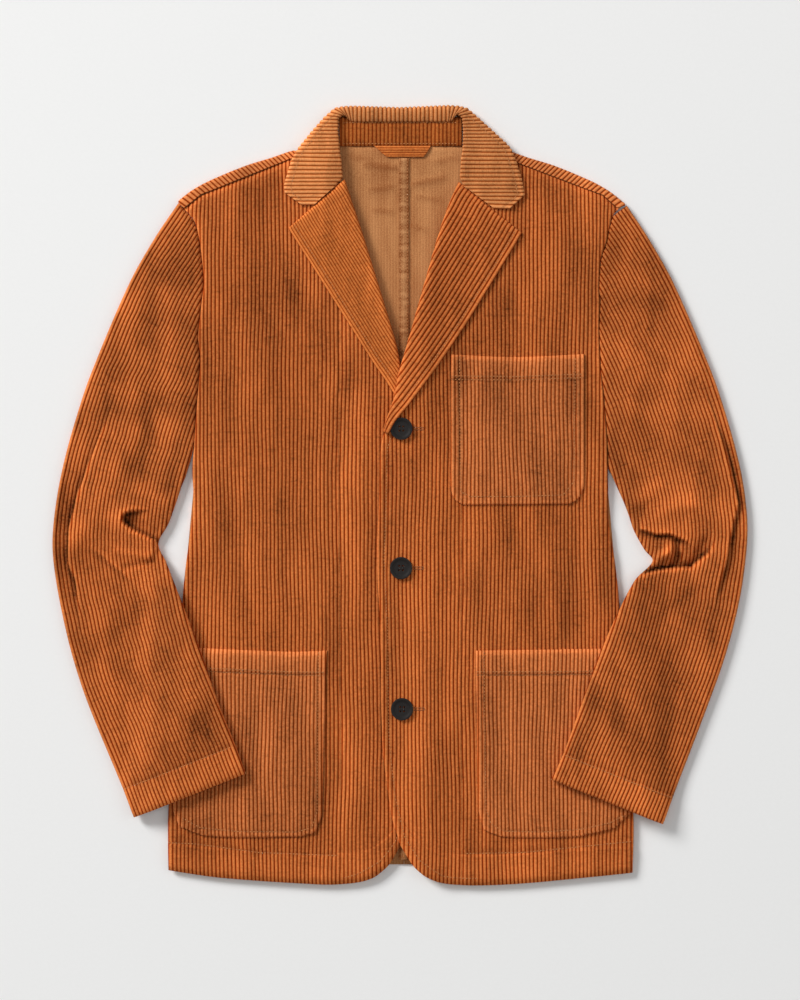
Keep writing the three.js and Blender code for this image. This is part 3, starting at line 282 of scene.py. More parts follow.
def creases(table, x, y):
    """Height of soft troughs and ridges at a point. Each row has its two ends, its half width and its height."""
    height = np.zeros(np.shape(x))
    for x1, y1, x2, y2, wide, tall in zip(*(table[key] for key in ("x1", "y1", "x2", "y2", "wide", "tall"))):
        away = away_from({"x": [x1, x2], "y": [y1, y2]}, x, y) / wide
        height = height + tall * np.exp(-away * away)
    return height


def beside_line(line, x, y):
    """Signed distance from a line of points, above 0 on its left, and the share of the way along it."""
    xs, ys = line["x"], line["y"]
    nearest = np.full(np.shape(x), 1e9)
    side = np.zeros(np.shape(x))
    share = np.zeros(np.shape(x))
    for i in range(len(xs) - 1):
        dx = xs[i + 1] - xs[i]
        dy = ys[i + 1] - ys[i]
        f = clamp01(((x - xs[i]) * dx + (y - ys[i]) * dy) / (dx * dx + dy * dy))
        away = np.hypot(x - xs[i] - dx * f, y - ys[i] - dy * f)
        closer = away < nearest
        nearest = np.where(closer, away, nearest)
        side = np.where(closer, np.sign(dx * (y - ys[i]) - dy * (x - xs[i])), side)
        share = np.where(closer, (i + f) / (len(xs) - 1), share)
    return nearest * side, share


def lips(lines, x, y):
    """Height of folds that lie over: high on the left of each line, low on its right, with a steep fall between.

    The second result is painted light on the lip and painted shade in the pocket below it.
    """
    height = np.zeros(np.shape(x))
    pile = np.zeros(np.shape(x))
    for line in lines:
        away, share = beside_line(line, x, y)
        high = line["tall"] * np.exp(-np.maximum(away, 0) / line["long"])
        low = -line["deep"] * np.exp(-np.maximum(-away, 0) / line["short"])
        taper = ease(np.minimum(share / line["start"], (1 - share) / line["end"]))
        height = height + mix(low, high, ease(away / 2.6 + 0.5)) * taper
        # Painted light along the lip and painted shade in the pocket under it, where the fold overhangs
        brushed = np.exp(-(((away - 1.6) / 2.4) ** 2)) - 1.7 * np.exp(-(((away + 2.4) / 3) ** 2))
        pile = pile + brushed * taper * min(1, line["tall"] / 2)
    return height, pile


def ripple(along, length, seed):
    """An uneven wave along a seam, about one high and length long from crest to crest."""
    turns = np.random.default_rng(seed).uniform(0, 6.28, 4)
    pace = 6.28 * np.asarray(along) / length
    return (0.5 * np.sin(pace + turns[0]) + 0.3 * np.sin(pace * 1.63 + turns[1])
            + 0.25 * np.sin(pace * 0.57 + turns[2]) + 0.2 * np.sin(pace * 2.3 + turns[3]))


def wale_profile(wale):
    """Share of a wale's height at a place counted in wales."""
    return np.interp(wale - np.floor(wale), np.append(ACROSS, 1), np.append(STANDS, 0))


right_side = curve(RIGHT_SIDE, "y", "x")
left_side = curve(LEFT_SIDE, "y", "x")

# Soft creases and swells of the fronts, which all that lies on them follows
FRONT_CREASES = {
    "x1": [-168, -134, -85, -103, 189, 120, -120, -60, 150, 60, -190, 175, -30, 100],
    "y1": [262, 304, 220, -115, 262, -30, -40, -200, -60, -250, 180, 180, -300, 240],
    "x2": [-175, -134, -85, -101, 189, 132, -150, -45, 160, 50, -150, 150, -35, 140],
    "y2": [155, 245, 155, -148, 203, -120, -120, -120, -125, -180, 120, 60, -220, 160],
    "wide": [9, 7, 8, 7, 5, 14, 22, 18, 12, 16, 16, 18, 16, 22],
    "tall": [-0.8, -0.7, -0.6, -0.6, -0.9, -0.5, -0.6, 0.5, 0.5, 0.5, 0.5, -0.5, 0.4, 0.5],
}


# Places on the fronts where the pile is brushed light or dark, each between two ends with a half width
FRONT_PATCHES = {
    "x1": [-46, -56, 14, 46, -203, 190, -105, 100, -150, 92, 150, -160, -210, 205, -120, 70, -30, 120, 60],
    "y1": [90, 140, -100, -110, 280, 250, 200, 190, 240, 60, -40, -60, 60, 60, 40, -380, -380, 20, 0],
    "x2": [-46, -58, 16, 50, -203, 180, -55, 40, -140, 80, 160, -180, -214, 210, -100, 200, -200, 130, 52],
    "y2": [-360, -380, -350, -230, 245, 90, 120, 95, 150, -60, -140, -150, -120, -100, -120, -378, -378, -60, 160],
    "wide": [13, 4, 12, 8, 8, 16, 13, 13, 22, 12, 20, 18, 8, 8, 20, 16, 16, 14, 10],
    "tall": [0.5, 0.35, 0.6, 0.5, 0.7, -0.45, -0.6, -0.6, -0.35, 0.35, -0.35, 0.35, -0.4, -0.4, -0.3, 0.5, 0.45, 0.35,
             -0.35],
}


def neck_lift(x, y):
    return FALL_LIFT * clamp01((y - 298) / 36) * (1 - ease((np.abs(x) - 104) / 20))


def lie(x, y):
    """How far the fronts, and what lies on them, swell or sink from flat."""
    calm = ease((330 - y) / 40) * ease((196 - np.abs(x)) / 30) * ease((y + 392) / 40)
    return creases(FRONT_CREASES, x, y) * calm


def flat_front_top(x, y):
    away = np.where(x < 0, x - right_side(y), left_side(y) - x)
    near = clamp01(1 - away / SIDE_ROUND)
    dip = ease((10 - y) / 30) * (FRONT_TOP - SIDE_TOP) * (1 - np.sqrt(1 - near * near))
    return FRONT_TOP + neck_lift(x, y) - dip


def front_top(x, y):
    return flat_front_top(x, y) + lie(x, y)


def crossing_fade(y):
    return 1 - clamp01((y - 141) / 127)


def lapping(x):
    return LAP_RISE * (1 - ease((x - 24) / 36))


def crossing_across(x):
    return 1 - ease((x - 14) / 36)


def over_front_top(x, y):
    crossing = ease((y - 70) / 25) * crossing_fade(y) * crossing_across(x)
    return front_top(x, y) + lapping(x) + CROSSING_RISE * crossing


def over_lapel_bed(x, y):
    rise = mix(BUTTON_CLEARANCE, CROSSING_RISE, ease((y - 78) / 20))
    return front_top(x, y) + lapping(x) + rise * crossing_fade(y) * crossing_across(x) + LAPEL_EXTRA


def edit(*steps):
    """Runs mesh operators on all of the active piece, in edit mode."""
    bpy.ops.object.mode_set(mode="EDIT")
    bpy.ops.mesh.select_all(action="SELECT")
    for step in steps:
        step()
    bpy.ops.object.mode_set(mode="OBJECT")


def faces_where(piece, test):
    """Selects the faces of a piece that pass a test, and nothing else."""
    for vertex in piece.data.vertices:
        vertex.select = False
    for line in piece.data.edges:
        line.select = False
    for face in piece.data.polygons:
        face.select = bool(test(face))


def cloth(name, points, wale, along, lift, wear_and_shade, thick, materials, replaces, flip=False, leave_out=None):
    """A wall of cloth from rows of points on its outer side.

    wale counts the wales across and along is in millimetres, for the material. lift is how far each point is
    raised after the wall has its thickness, so the inside stays plain. The array after lift is above 0 where the
    colour is drawn lighter, at rubbed edges and bands and as painted light on folds and puckers, and below 0
    where it is painted shade in creases, fold pockets and along sewing.
    leave_out marks the faces, by row and column, where the cloth is open.
    """
    if flip:
        points, wale, along, lift, wear_and_shade = (part[:, ::-1] for part in (points, wale, along, lift, wear_and_shade))
    rows, columns = points.shape[:2]
    bpy.ops.object.select_all(action="DESELECT")
    bpy.ops.mesh.primitive_grid_add(x_subdivisions=columns - 1, y_subdivisions=rows - 1, size=1)
    piece = bpy.context.object
    piece.name = name + "_cloth"
    mesh = piece.data
    mesh.vertices.foreach_set("co", (points * MM).ravel())
    corners = np.empty(len(mesh.loops), np.int32)
    mesh.loops.foreach_get("vertex_index", corners)
    places = np.stack([wale.ravel(), along.ravel() * MM], 1)[corners]
    mesh.uv_layers[0].name = "cord"
    mesh.uv_layers["cord"].data.foreach_set("uv", places.astype(np.float32).ravel())
    # Per-point colour attribute: rubbed edges and bands lighter, with painted light and shade of folds, puckers and
    # seams
    for key, values in (("lift", lift), ("wear_and_shade", wear_and_shade)):
        mesh.attributes.new(key, "FLOAT", "POINT").data.foreach_set("value", values.astype(np.float32).ravel())
    if leave_out is not None:
        keep_out = (leave_out[:, ::-1] if flip else leave_out).ravel()
        faces_where(piece, lambda face: keep_out[face.index])
        bpy.ops.object.mode_set(mode="EDIT")
        bpy.ops.mesh.delete(type="FACE")
        bpy.ops.object.mode_set(mode="OBJECT")
    edit(lambda: bpy.ops.mesh.remove_doubles(threshold=2e-5),
         lambda: bpy.ops.mesh.dissolve_degenerate(threshold=1e-6))

    for material in materials:
        mesh.materials.append(material)
    count = len(mesh.vertices)
    normals = np.empty(count * 3)
    mesh.vertex_normals.foreach_get("vector", normals)
    wall = piece.modifiers.new("wall", "SOLIDIFY")
    wall.thickness = thick * MM
    wall.offset = -1
    wall.material_offset = len(materials) - 1
    bpy.ops.object.modifier_apply(modifier="wall")

    places = np.empty(len(mesh.vertices) * 3)
    mesh.vertices.foreach_get("co", places)
    raised = np.empty(len(mesh.vertices), np.float32)
    mesh.attributes["lift"].data.foreach_get("value", raised)
    places = places.reshape(-1, 3)
    places[:count] += normals.reshape(-1, 3) * raised[:count, None] * MM
    places[:, 2] = np.maximum(places[:, 2], 0)
    mesh.vertices.foreach_set("co", places.ravel())
    mesh.attributes.remove(mesh.attributes["lift"])
    bpy.ops.object.shade_smooth()
    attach(piece, "root")
    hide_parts(*replaces)
    return piece


def linear(hex_colour):
    """An sRGB hex colour as linear red, green, blue and alpha."""
    shares = [int(hex_colour[i:i + 2], 16) / 255 for i in (1, 3, 5)]
    return [c / 12.92 if c <= 0.04045 else ((c + 0.055) / 1.055) ** 2.4 for c in shares] + [1]


def new_material(name):
    """An empty material with its shader and output, and a function that adds a node with settings and links."""
    material = bpy.data.materials.new(name)
    material.use_nodes = True
    tree = material.node_tree
    shader = tree.nodes["Principled BSDF"]

    def add(kind, inputs=None, **settings):
        made = tree.nodes.new(kind)
        for key, value in settings.items():
            setattr(made, key, value)
        feed(made, inputs or {})
        return made

    def feed(made, inputs):
        for key, value in inputs.items():
            if isinstance(value, bpy.types.NodeSocket):
                tree.links.new(value, made.inputs[key])
            else:
                made.inputs[key].default_value = value

    return material, shader, add, feed


def corduroy(name, crest, flank, groove, patch=0.16):
    """Wide-wale cotton corduroy, cut and brushed.

    The pile is light on top of each wale and a deep red-brown between wales, where light hardly reaches.
    It lies in uneven patches a few centimetres across, and its tufts show as specks about a millimetre apart.
    """
    material, shader, add, feed = new_material(name)
    place = add("ShaderNodeTexCoord")
    uv = add("ShaderNodeUVMap", uv_map="cord")
    parts = add("ShaderNodeSeparateXYZ", {0: uv.outputs[0]})

    # Wales wander a little along their length.
    stretched = add("ShaderNodeMapping", {"Vector": uv.outputs[0], "Scale": (0.7, 60, 1)})
    wander = add("ShaderNodeTexNoise", {"Vector": stretched.outputs[0], "Scale": 1.0, "Detail": 2.0})
    wale = add("ShaderNodeMath", {0: wander.outputs[0], 1: 0.16, 2: parts.outputs[0]}, operation="MULTIPLY_ADD")
    wale = add("ShaderNodeMath", {0: wale.outputs[0], 1: 0.08}, operation="SUBTRACT")
    turn = add("ShaderNodeMath", {0: wale.outputs[0]}, operation="FRACT")
    off = add("ShaderNodeMath", {0: turn.outputs[0], 1: 0.5}, operation="SUBTRACT")
    off = add("ShaderNodeMath", {0: off.outputs[0]}, operation="ABSOLUTE")

    # Tufts of pile, about 1.1 mm apart along a wale and finer across it
    tufts_at = add("ShaderNodeMapping", {"Vector": uv.outputs[0], "Scale": (4.2, 900, 1)})
    tufts = add("ShaderNodeTexNoise", {"Vector": tufts_at.outputs[0], "Scale": 1.0, "Detail": 3.0,
                                       "Roughness": 0.6})
    fuzz = add("ShaderNodeTexNoise", {"Vector": place.outputs["Object"], "Scale": 1400.0, "Detail": 2.0})
    edge = add("ShaderNodeMath", {0: tufts.outputs[0], 1: 0.11, 2: off.outputs[0]}, operation="MULTIPLY_ADD")
    shade = add("ShaderNodeValToRGB", {0: edge.outputs[0]})
    ramp = shade.color_ramp
    ramp.interpolation = "EASE"
    ramp.elements[0].position = 0.25
    ramp.elements[0].color = linear(crest)
    ramp.elements[1].position = 0.56
    ramp.elements[1].color = linear(groove)
    middle = ramp.elements.new(0.44)
    middle.color = linear(flank)

    # Brushed patches, long down the cloth, and finer mottling
    nap_at = add("ShaderNodeMapping", {"Vector": place.outputs["Object"], "Scale": (46, 11, 46)})
    nap = add("ShaderNodeTexNoise", {"Vector": nap_at.outputs[0], "Scale": 1.0, "Detail": 4.0,
                                     "Roughness": 0.55})
    mottle_at = add("ShaderNodeMapping", {"Vector": uv.outputs[0], "Scale": (0.9, 110, 1)})
    mottle = add("ShaderNodeTexNoise", {"Vector": mottle_at.outputs[0], "Scale": 1.0, "Detail": 3.0})
    speck_at = add("ShaderNodeMapping", {"Vector": uv.outputs[0], "Scale": (1.3, 420, 1)})
    speck = add("ShaderNodeTexNoise", {"Vector": speck_at.outputs[0], "Scale": 1.0, "Detail": 2.0})
    # Fine marks across the wales, where the cloth has creased and been smoothed out again
    cross_at = add("ShaderNodeMapping", {"Vector": uv.outputs[0], "Scale": (0.16, 230, 1)})
    cross = add("ShaderNodeTexNoise", {"Vector": cross_at.outputs[0], "Scale": 1.0, "Detail": 2.0})
    mark = add("ShaderNodeMapRange", {"Value": cross.outputs[0], "From Min": 0.56, "From Max": 0.7, "To Max": -0.17})
    wear_and_shade_node = add("ShaderNodeAttribute", attribute_name="wear_and_shade")
    light = add("ShaderNodeMath", {0: nap.outputs[0], 1: patch * 2.4, 2: 1 - patch * 1.2},
                operation="MULTIPLY_ADD")
    light = add("ShaderNodeMath", {0: mottle.outputs[0], 1: 0.3, 2: light.outputs[0]}, operation="MULTIPLY_ADD")
    light = add("ShaderNodeMath", {0: fuzz.outputs[0], 1: 0.5, 2: light.outputs[0]}, operation="MULTIPLY_ADD")
    light = add("ShaderNodeMath", {0: tufts.outputs[0], 1: 0.95, 2: light.outputs[0]}, operation="MULTIPLY_ADD")
    light = add("ShaderNodeMath", {0: light.outputs[0], 1: 0.875}, operation="SUBTRACT")
    # The attribute lightens rubbed edges and bands, and adds painted light and shade of folds, puckers and seams
    light = add("ShaderNodeMath", {0: wear_and_shade_node.outputs["Fac"], 1: 0.32, 2: light.outputs[0]},
                operation="MULTIPLY_ADD")
    light = add("ShaderNodeMath", {0: speck.outputs[0], 1: 0.9, 2: light.outputs[0]}, operation="MULTIPLY_ADD")
    light = add("ShaderNodeMath", {0: light.outputs[0], 1: 0.42}, operation="SUBTRACT")
    light = add("ShaderNodeMath", {0: light.outputs[0], 1: mark.outputs[0]}, operation="ADD")
    tone = add("ShaderNodeVectorMath", {0: shade.outputs[0], "Scale": light.outputs[0]}, operation="SCALE")

    height = add("ShaderNodeMath", {0: tufts.outputs[0], 1: 0.7, 2: fuzz.outputs[0]}, operation="MULTIPLY_ADD")
    bump = add("ShaderNodeBump", {"Height": height.outputs[0], "Strength": 0.55, "Distance": 0.0006})
    feed(shader, {"Base Color": tone.outputs[0], "Normal": bump.outputs[0], "Roughness": 0.95,
                  "Specular IOR Level": 0.06, "Sheen Weight": 0.02, "Sheen Roughness": 0.45,
                  "Sheen Tint": linear("#f0a878")})
    return material


def cloth_back(name, light, dark):
    """The plain back of the corduroy: a close cotton weave with faint ribs where the wales are bound in."""
    material, shader, add, feed = new_material(name)
    place = add("ShaderNodeTexCoord")
    parts = add("ShaderNodeSeparateXYZ", {0: place.outputs["Object"]})
    # The ribs are 3 mm apart.
    rib = add("ShaderNodeMath", {0: parts.outputs[0], 1: 2094.0}, operation="MULTIPLY")
    rib = add("ShaderNodeMath", {0: rib.outputs[0]}, operation="SINE")
    weave = add("ShaderNodeTexNoise", {"Vector": place.outputs["Object"], "Scale": 1100.0, "Detail": 2.0})
    broad_at = add("ShaderNodeMapping", {"Vector": place.outputs["Object"], "Scale": (60, 14, 60)})
    broad = add("ShaderNodeTexNoise", {"Vector": broad_at.outputs[0], "Scale": 1.0, "Detail": 3.0})
    wear_and_shade_node = add("ShaderNodeAttribute", attribute_name="wear_and_shade")
    share = add("ShaderNodeMath", {0: rib.outputs[0], 1: 0.07, 2: weave.outputs[0]}, operation="MULTIPLY_ADD")
    share = add("ShaderNodeMath", {0: broad.outputs[0], 1: 0.8, 2: share.outputs[0]}, operation="MULTIPLY_ADD")
    # The attribute lightens rubbed edges and bands, and adds painted light and shade of folds, puckers and seams
    share = add("ShaderNodeMath", {0: wear_and_shade_node.outputs["Fac"], 1: 0.5, 2: share.outputs[0]}, operation="MULTIPLY_ADD")
    share = add("ShaderNodeMapRange", {"Value": share.outputs[0], "From Min": 0.55, "From Max": 1.25})
    colour = add("ShaderNodeMix", {"Factor": share.outputs[0], "A": linear(dark), "B": linear(light)},
                 data_type="RGBA")
    height = add("ShaderNodeMath", {0: rib.outputs[0], 1: 0.2, 2: weave.outputs[0]}, operation="MULTIPLY_ADD")
    bump = add("ShaderNodeBump", {"Height": height.outputs[0], "Strength": 0.4, "Distance": 0.0003})
    feed(shader, {"Base Color": colour.outputs["Result"], "Normal": bump.outputs[0], "Roughness": 0.9,
                  "Specular IOR Level": 0.2})
    return material


cord = corduroy("cotton_corduroy", "#c4713a", "#993b0c", "#500a00", patch=0.6)
cord_light = corduroy("cotton_corduroy_pressed", "#c87743", "#9f4514", "#541000", patch=0.6)
cord_collar = corduroy("cotton_corduroy_collar", "#d08852", "#ae5c27", "#722808", patch=0.5)
cord_lapel = corduroy("cotton_corduroy_turned", "#c6713a", "#9a3e0f", "#561000", patch=0.55)
cord_fine = corduroy("cotton_corduroy_fine", "#c97439", "#a64c18", "#7c2d08", patch=0.6)
cord_stand = corduroy("cotton_corduroy_stand", "#b0632d", "#8c3c10", "#682104", patch=0.6)
inside = cloth_back("corduroy_back", "#d49660", "#94552a")
binding = cloth_back("cotton_binding", "#d59a66", "#84491f")

# Lines of sewing that press the cloth down, in pairs of x and y
PRESSED = {
    "right_front": [
        {"x": [-232, -205, -142, -62], "y": [-347.5, -348.5, -357.1, -360.3]},
        {"x": [-56, -43.4, -31, -20.2, -12.7, -4, 8.5, 14, 14, 14], "y": [-382.5, -379.1, -372.5, -365.9,
                                                                       -357.5, -345, -300, -250, -100, 50]},
        {"x": [-61, -60, -58], "y": [190, -100, -388]},
    ],
    "left_front": [
        {"x": [65.7, 123, 163.7, 233], "y": [-358.2, -357.2, -353.1, -345.9]},
        {"x": [78, 67, 56, 43.7, 35.4, 20, 5, -4.5, -10.5, -12, -12, -15.8, -13.5, -12.6, -9],
         "y": [-383, -382.9, -382.4, -380.8, -375.8, -365, -342, -303, -250, -194.5, -144.5, -63.5, 0.5,
               46.5, 58]},
        {"x": [62, 62, 62], "y": [60, -200, -388]},
    ],
}


def spaced(length, pitch, near=(), spread=(-3.2, -1.6, -0.8, 0, 0.8, 1.6, 3.2)):
    """Shares of the way along a length, pitch apart, and closer round the places in near."""
    even = np.linspace(0, 1, int(length / pitch) + 1)
    fine = [place + step / length for place in near for step in spread]
    return np.unique(np.clip(np.concatenate([even, fine]), 0, 1))


def warp(x, y):
    """How far wales wander sideways, in millimetres."""
    return 0.9 * np.sin(y / 61 + x / 47) + 0.5 * np.sin(y / 31 - x / 23 + 1.3) + 0.15 * np.sin(y / 11 + x / 17)


def press_down(lines, x, y, seed):
    """How firmly sewing presses at a point, from 0 to 1, and the puckers beside it."""
    firm = np.zeros(np.shape(x))
    pucker = np.zeros(np.shape(x))
    for number, line in enumerate(lines):
        away = away_from(line, x, y)
        firm = np.maximum(firm, np.exp(-((away / 1.3) ** 2)))
        pucker += 0.42 * ripple(y + 0.8 * x, 10, seed + number) * np.exp(-((away / 6) ** 2))
    return firm, pucker


def panel(name, shape, shares, top, thick, materials, replaces, pressed=(), edge_dip=0.9, light_edge=0.7,
          wander=1, ribs=1, seed=1, patches=1, across=None,
          light_from=None):
    """A panel of upright wales between four outlines."""
    low, high, left, right = shape
    shares = np.asarray(shares)

    def row_end(outline):
        x = outline(mix(low(0 * shares), high(0 * shares), shares))
        for _ in range(60):
            x = mix(x, outline(mix(low(x), high(x), shares)), 0.7)
        return x[:, None]

    start = row_end(left)
    stop = row_end(right)
    numbers = np.arange(math.floor(start.min() / WALE), math.ceil(stop.max() / WALE))
    places = (numbers[:, None] + ACROSS).ravel() * WALE
    x = np.clip(np.append(places, stop.max()), start, stop)
    wale = x / WALE
    beside = np.minimum(x - start, stop - x)
    x = x + wander * warp(x, mix(low(x), high(x), shares[:, None])) * ease(beside / 14)
    y = mix(low(x), high(x), shares[:, None])
    ends = np.minimum(y - low(x), high(x) - y)
    edge = np.minimum(beside, ends)
    firm, pucker = press_down(pressed, x, y, seed)
    z = top(x, y, shares[:, None]) - 0.35 * firm + pucker * ease(edge / 5)
    z = z - edge_dip * (1 - clamp01(edge / 1.5)) ** 2
    lift = ribs * WALE_HEIGHT * wale_profile(wale) * clamp01(edge / 0.9) * (1 - 0.55 * firm)
    # Lighter at rubbed edges and in brushed patches; painted light on pucker crests, painted shade in their hollows
    # and along the sewing
    wear_and_shade = light_edge * np.exp(-((edge / 3) ** 2)) + 0.7 * pucker - 0.5 * firm + patches * creases(FRONT_PATCHES, x, y)
    if light_from:
        wear_and_shade = wear_and_shade + 0.4 * ease((light_from[1] - y) / 4) * ease((y - light_from[0]) / 4)
    if across:
        wale, y_along = y / across, x
    else:
        y_along = y
    return cloth(name, np.stack([x, y, z], 2), wale, y_along, lift, wear_and_shade, thick, materials, replaces)


def inset(outline, by):
    return lambda k: outline(k) + by


def banded(share, band, above, over=0.002):
    """The rise of a hem band: past the share of its edge, above it or below it."""
    return BAND_HEIGHT * ease((share - band if above else band - share) / over + 0.5)


def front(name, side, edge_table, hem, shoulder, top):
    inward = -1 if name == "right_front" else 1
    line = curve(edge_table, "y", "x")

    def edge(y):
        return line(y) + inward * ROLL_INSET * ease((y - 60) / 20)

    outer = inset(side, -inward * SEAM_GAP / 2)
    shape = (curve(hem, "x", "y"), chain(shoulder, "x", "y"),
             outer if inward < 0 else edge, edge if inward < 0 else outer)
    return panel(name, shape, spaced(735, 8, near=[HEM_BAND_TOP]),
                 lambda x, y, share: top(x, y) + banded(share, HEM_BAND_TOP, above=False),
                 WALL, [cord, inside], [name], pressed=PRESSED[name], light_edge=1.1, seed=len(name),
                 light_from=(-400, -357))


right_front = front("right_front", right_side, RIGHT_EDGE, RIGHT_HEM, RIGHT_SHOULDER, front_top)
left_front = front("left_front", left_side, LEFT_EDGE, LEFT_HEM, LEFT_SHOULDER, over_front_top)


# Pockets, each with a stitched band along its mouth and a line of sewing round it
def pocket(name, table, below, height, pressed):
    shape = (curve(table["low"], "x", "y"), curve(table["high"], "x", "y"),
             chain(table["left"], "y", "x"), chain(table["right"], "y", "x"))
    shares = spaced(height, 5.5, near=[table["band"], 0.03])
    band_low = mix(min(table["low"]["y"]), max(table["high"]["y"]), table["band"])
    return panel(name, shape, shares,
                 lambda x, y, share: below(x, y) + POCKET_RISE + banded(share, table["band"], above=True, over=0.01),
                 WALL, [cord_light, inside], [name], pressed=pressed, edge_dip=1.2, light_edge=1.2, wander=1.3,
                 seed=len(name) + 3, light_from=(band_low, 400))


POCKET_SEWING = {
    "chest_pocket": [
        {"x": [51, 117, 184.4], "y": [116, 115.5, 118]},
        {"x": [59.5, 60.5, 70, 117, 163, 174, 175.5], "y": [140, 4, -1, -1, 0.5, 14, 140]},
    ],
    "right_pocket": [
        {"x": [-213, -112, -74], "y": [-175, -179.5, -180]},
        {"x": [-81.5, -83, -88, -104, -162, -200, -218], "y": [-156, -318, -332, -336.5, -336, -332, -322]},
    ],
    "left_pocket": [
        {"x": [76, 140, 215], "y": [-179.5, -179.5, -178.5]},
        {"x": [84, 86, 91, 103, 143, 182, 210, 224], "y": [-156, -314, -328, -335.5, -336.5, -333.5, -327, -320]},
    ],
}
chest_pocket = pocket("chest_pocket", CHEST_POCKET, over_front_top, 150, POCKET_SEWING["chest_pocket"])
right_pocket = pocket("right_pocket", RIGHT_POCKET, front_top, 186, POCKET_SEWING["right_pocket"])
left_pocket = pocket("left_pocket", LEFT_POCKET, over_front_top, 187, POCKET_SEWING["left_pocket"])


# Lapels. Each section starts below the turned edge, rounds it and runs to the free edge.
def lapel(name, table, bed, own_front, turned_left, pitch, ribs, material):
    count = len(table["roll_x"])
    rows = sections_of(table, np.linspace(0, count - 1, 52))
    roll_x, roll_y = rows["roll_x"][:, None], rows["roll_y"][:, None]
    dx = rows["edge_x"][:, None] - roll_x
    dy = rows["edge_y"][:, None] - roll_y
    width = np.hypot(dx, dy)
    turn = np.minimum(LAPEL_TURN, width / 3)
    rise = ROLL_RISE * ease((roll_y - 125) / 50)

    def at(d):
        return roll_x + dx * d / width, roll_y + dy * d / width

    def top(d):
        x, y = at(d)
        return bed(x, y) + LAPEL_RISE + rise * np.exp(-((d / ROLL_SPREAD) ** 2))

    x, y = at(turn)
    low_z = own_front(x, y) - WALL
    middle = (top(turn) + low_z) / 2
    half = top(turn) - middle
    angle = np.linspace(0, math.pi, 9)[None, :-1]
    turn_x, turn_y = at(turn - turn * np.sin(angle))
    turn_z = middle - half * np.cos(angle)
    most = math.ceil(width.max() / pitch)
    place = (np.arange(-most, 0)[:, None] + ACROSS).ravel() * pitch
    t = np.clip(np.append(place, 0)[None, :], turn - width, 0)
    flat_x, flat_y = at(width + t)
    flat_z = top(width + t)
    x = np.concatenate([turn_x, flat_x], 1)
    y = np.concatenate([turn_y, flat_y], 1)
    z = np.concatenate([turn_z, flat_z], 1)
    along = np.concatenate([turn - width - half * (math.pi - angle), t], 1)
    wale = along / pitch
    end = np.minimum(np.hypot(x - x[:1], y - y[:1]), np.hypot(x - x[-1:], y - y[-1:]))
    edge = np.minimum(-along, end + 0 * along)
    pucker = 0.22 * ripple(y, 11, count) * np.exp(-(((along + 7) / 5) ** 2))
    firm = np.exp(-(((along + 7) / 1.3) ** 2))
    z = z + pucker - 0.3 * firm - 0.9 * (1 - clamp01(edge / 1.5)) ** 2
    lift = ribs * wale_profile(wale) * clamp01(edge / 0.9) * (1 - 0.55 * firm)
    from_roll = np.concatenate([0 * turn_x, width + t], 1)
    # Lighter at the rubbed free edge and along the roll; painted light on pucker crests, painted shade in their
    # hollows and along the sewing
    wear_and_shade = 0.95 * np.exp(-((edge / 4.5) ** 2)) + 0.35 * np.exp(-((from_roll / 5) ** 2)) + 0.7 * pucker - 0.4 * firm
    length = roll_y + 0 * along
    return cloth(name, np.stack([x, y, z], 2), wale, length, lift, wear_and_shade, WALL, [material, inside], [name],
                 flip=turned_left)


right_lapel = lapel("right_lapel", RIGHT_LAPEL, front_top, front_top, True, 2.9, 0.4, cord_fine)
left_lapel = lapel("left_lapel", LEFT_LAPEL, over_lapel_bed, over_front_top, False, 4.3, WALE_HEIGHT, cord_lapel)


# Collar. Its wales run from the roll line out. Each section goes over the roll, out, and round underneath.
def collar_section(roll_x, roll_y, edge_x, edge_y, width, lead, crest):
    """Points of the outer side, with how far along the cloth each one is."""
    reach = math.hypot(edge_x - roll_x, edge_y - roll_y)
    ux = (edge_x - roll_x) / reach
    uy = (edge_y - roll_y) / reach
    wing = clamp01((abs(roll_x + edge_x) / 2 - 56) / 10)

    def top(d):
        x = roll_x + ux * d
        y = roll_y + uy * d
        neck = ease((y - 336) / 8)
        bed = mix(np.maximum(front_top(x, y), front_top(x, y + 3)), FRONT_TOP + FALL_LIFT, neck)
        laid = bed + LAPEL_RISE + ROLL_RISE * crest * np.exp(-((d / ROLL_SPREAD) ** 2))
        return mix(COLLAR_BACK_TOP, laid, wing)

    wraps = width > reach + 0.01
    radius = float(top(reach)) / 2
    start = reach - radius if wraps else width
    under = clamp01((lead + 4) / 6) * ease((crest - 0.2) / 0.4)
    turned_in = ease((crest - 0.2) / 0.3) if wing > 0.5 else 1.0
    low_z = mix(STAND_TOP_Z + 0.3, float(front_top(roll_x, roll_y)) - 0.2, under)
    first_d = mix(0, lead, turned_in)
    first_z = mix(float(top(0)), low_z, turned_in)
    bend = min(2.6, start / 2)
    points = []
    for f in np.linspace(0, 1, 7)[:-1]:
        angle = f * math.pi / 2
        d = mix(first_d, bend, f**2) - turned_in * 0.9 * math.sin(2 * angle)
        z = mix(first_z, float(top(bend)), math.sin(angle))
        points.append((d, z))
    for f in np.linspace(0, 1, 16):
        d = mix(bend, start, f)
        points.append((d, float(top(d))))
    if wraps:
        last = min(math.pi, (width - start) / radius)
        for f in np.linspace(0, 1, 9)[1:]:
            angle = f * last
            points.append((start + radius * math.sin(angle), radius + radius * math.cos(angle)))
        beyond = max(0.0, width - start - math.pi * radius)
        for f in np.linspace(0, 1, 7)[1:]:
            points.append((start - beyond * f, radius - radius if last == math.pi else points[-1][1]))
    else:
        for f in np.linspace(0, 1, 15)[1:]:
            points.append((start, float(top(start)) - 0.002 * f))
    return [(roll_x + ux * d, roll_y + uy * d, z, d) for d, z in points], reach, float(turned_in)


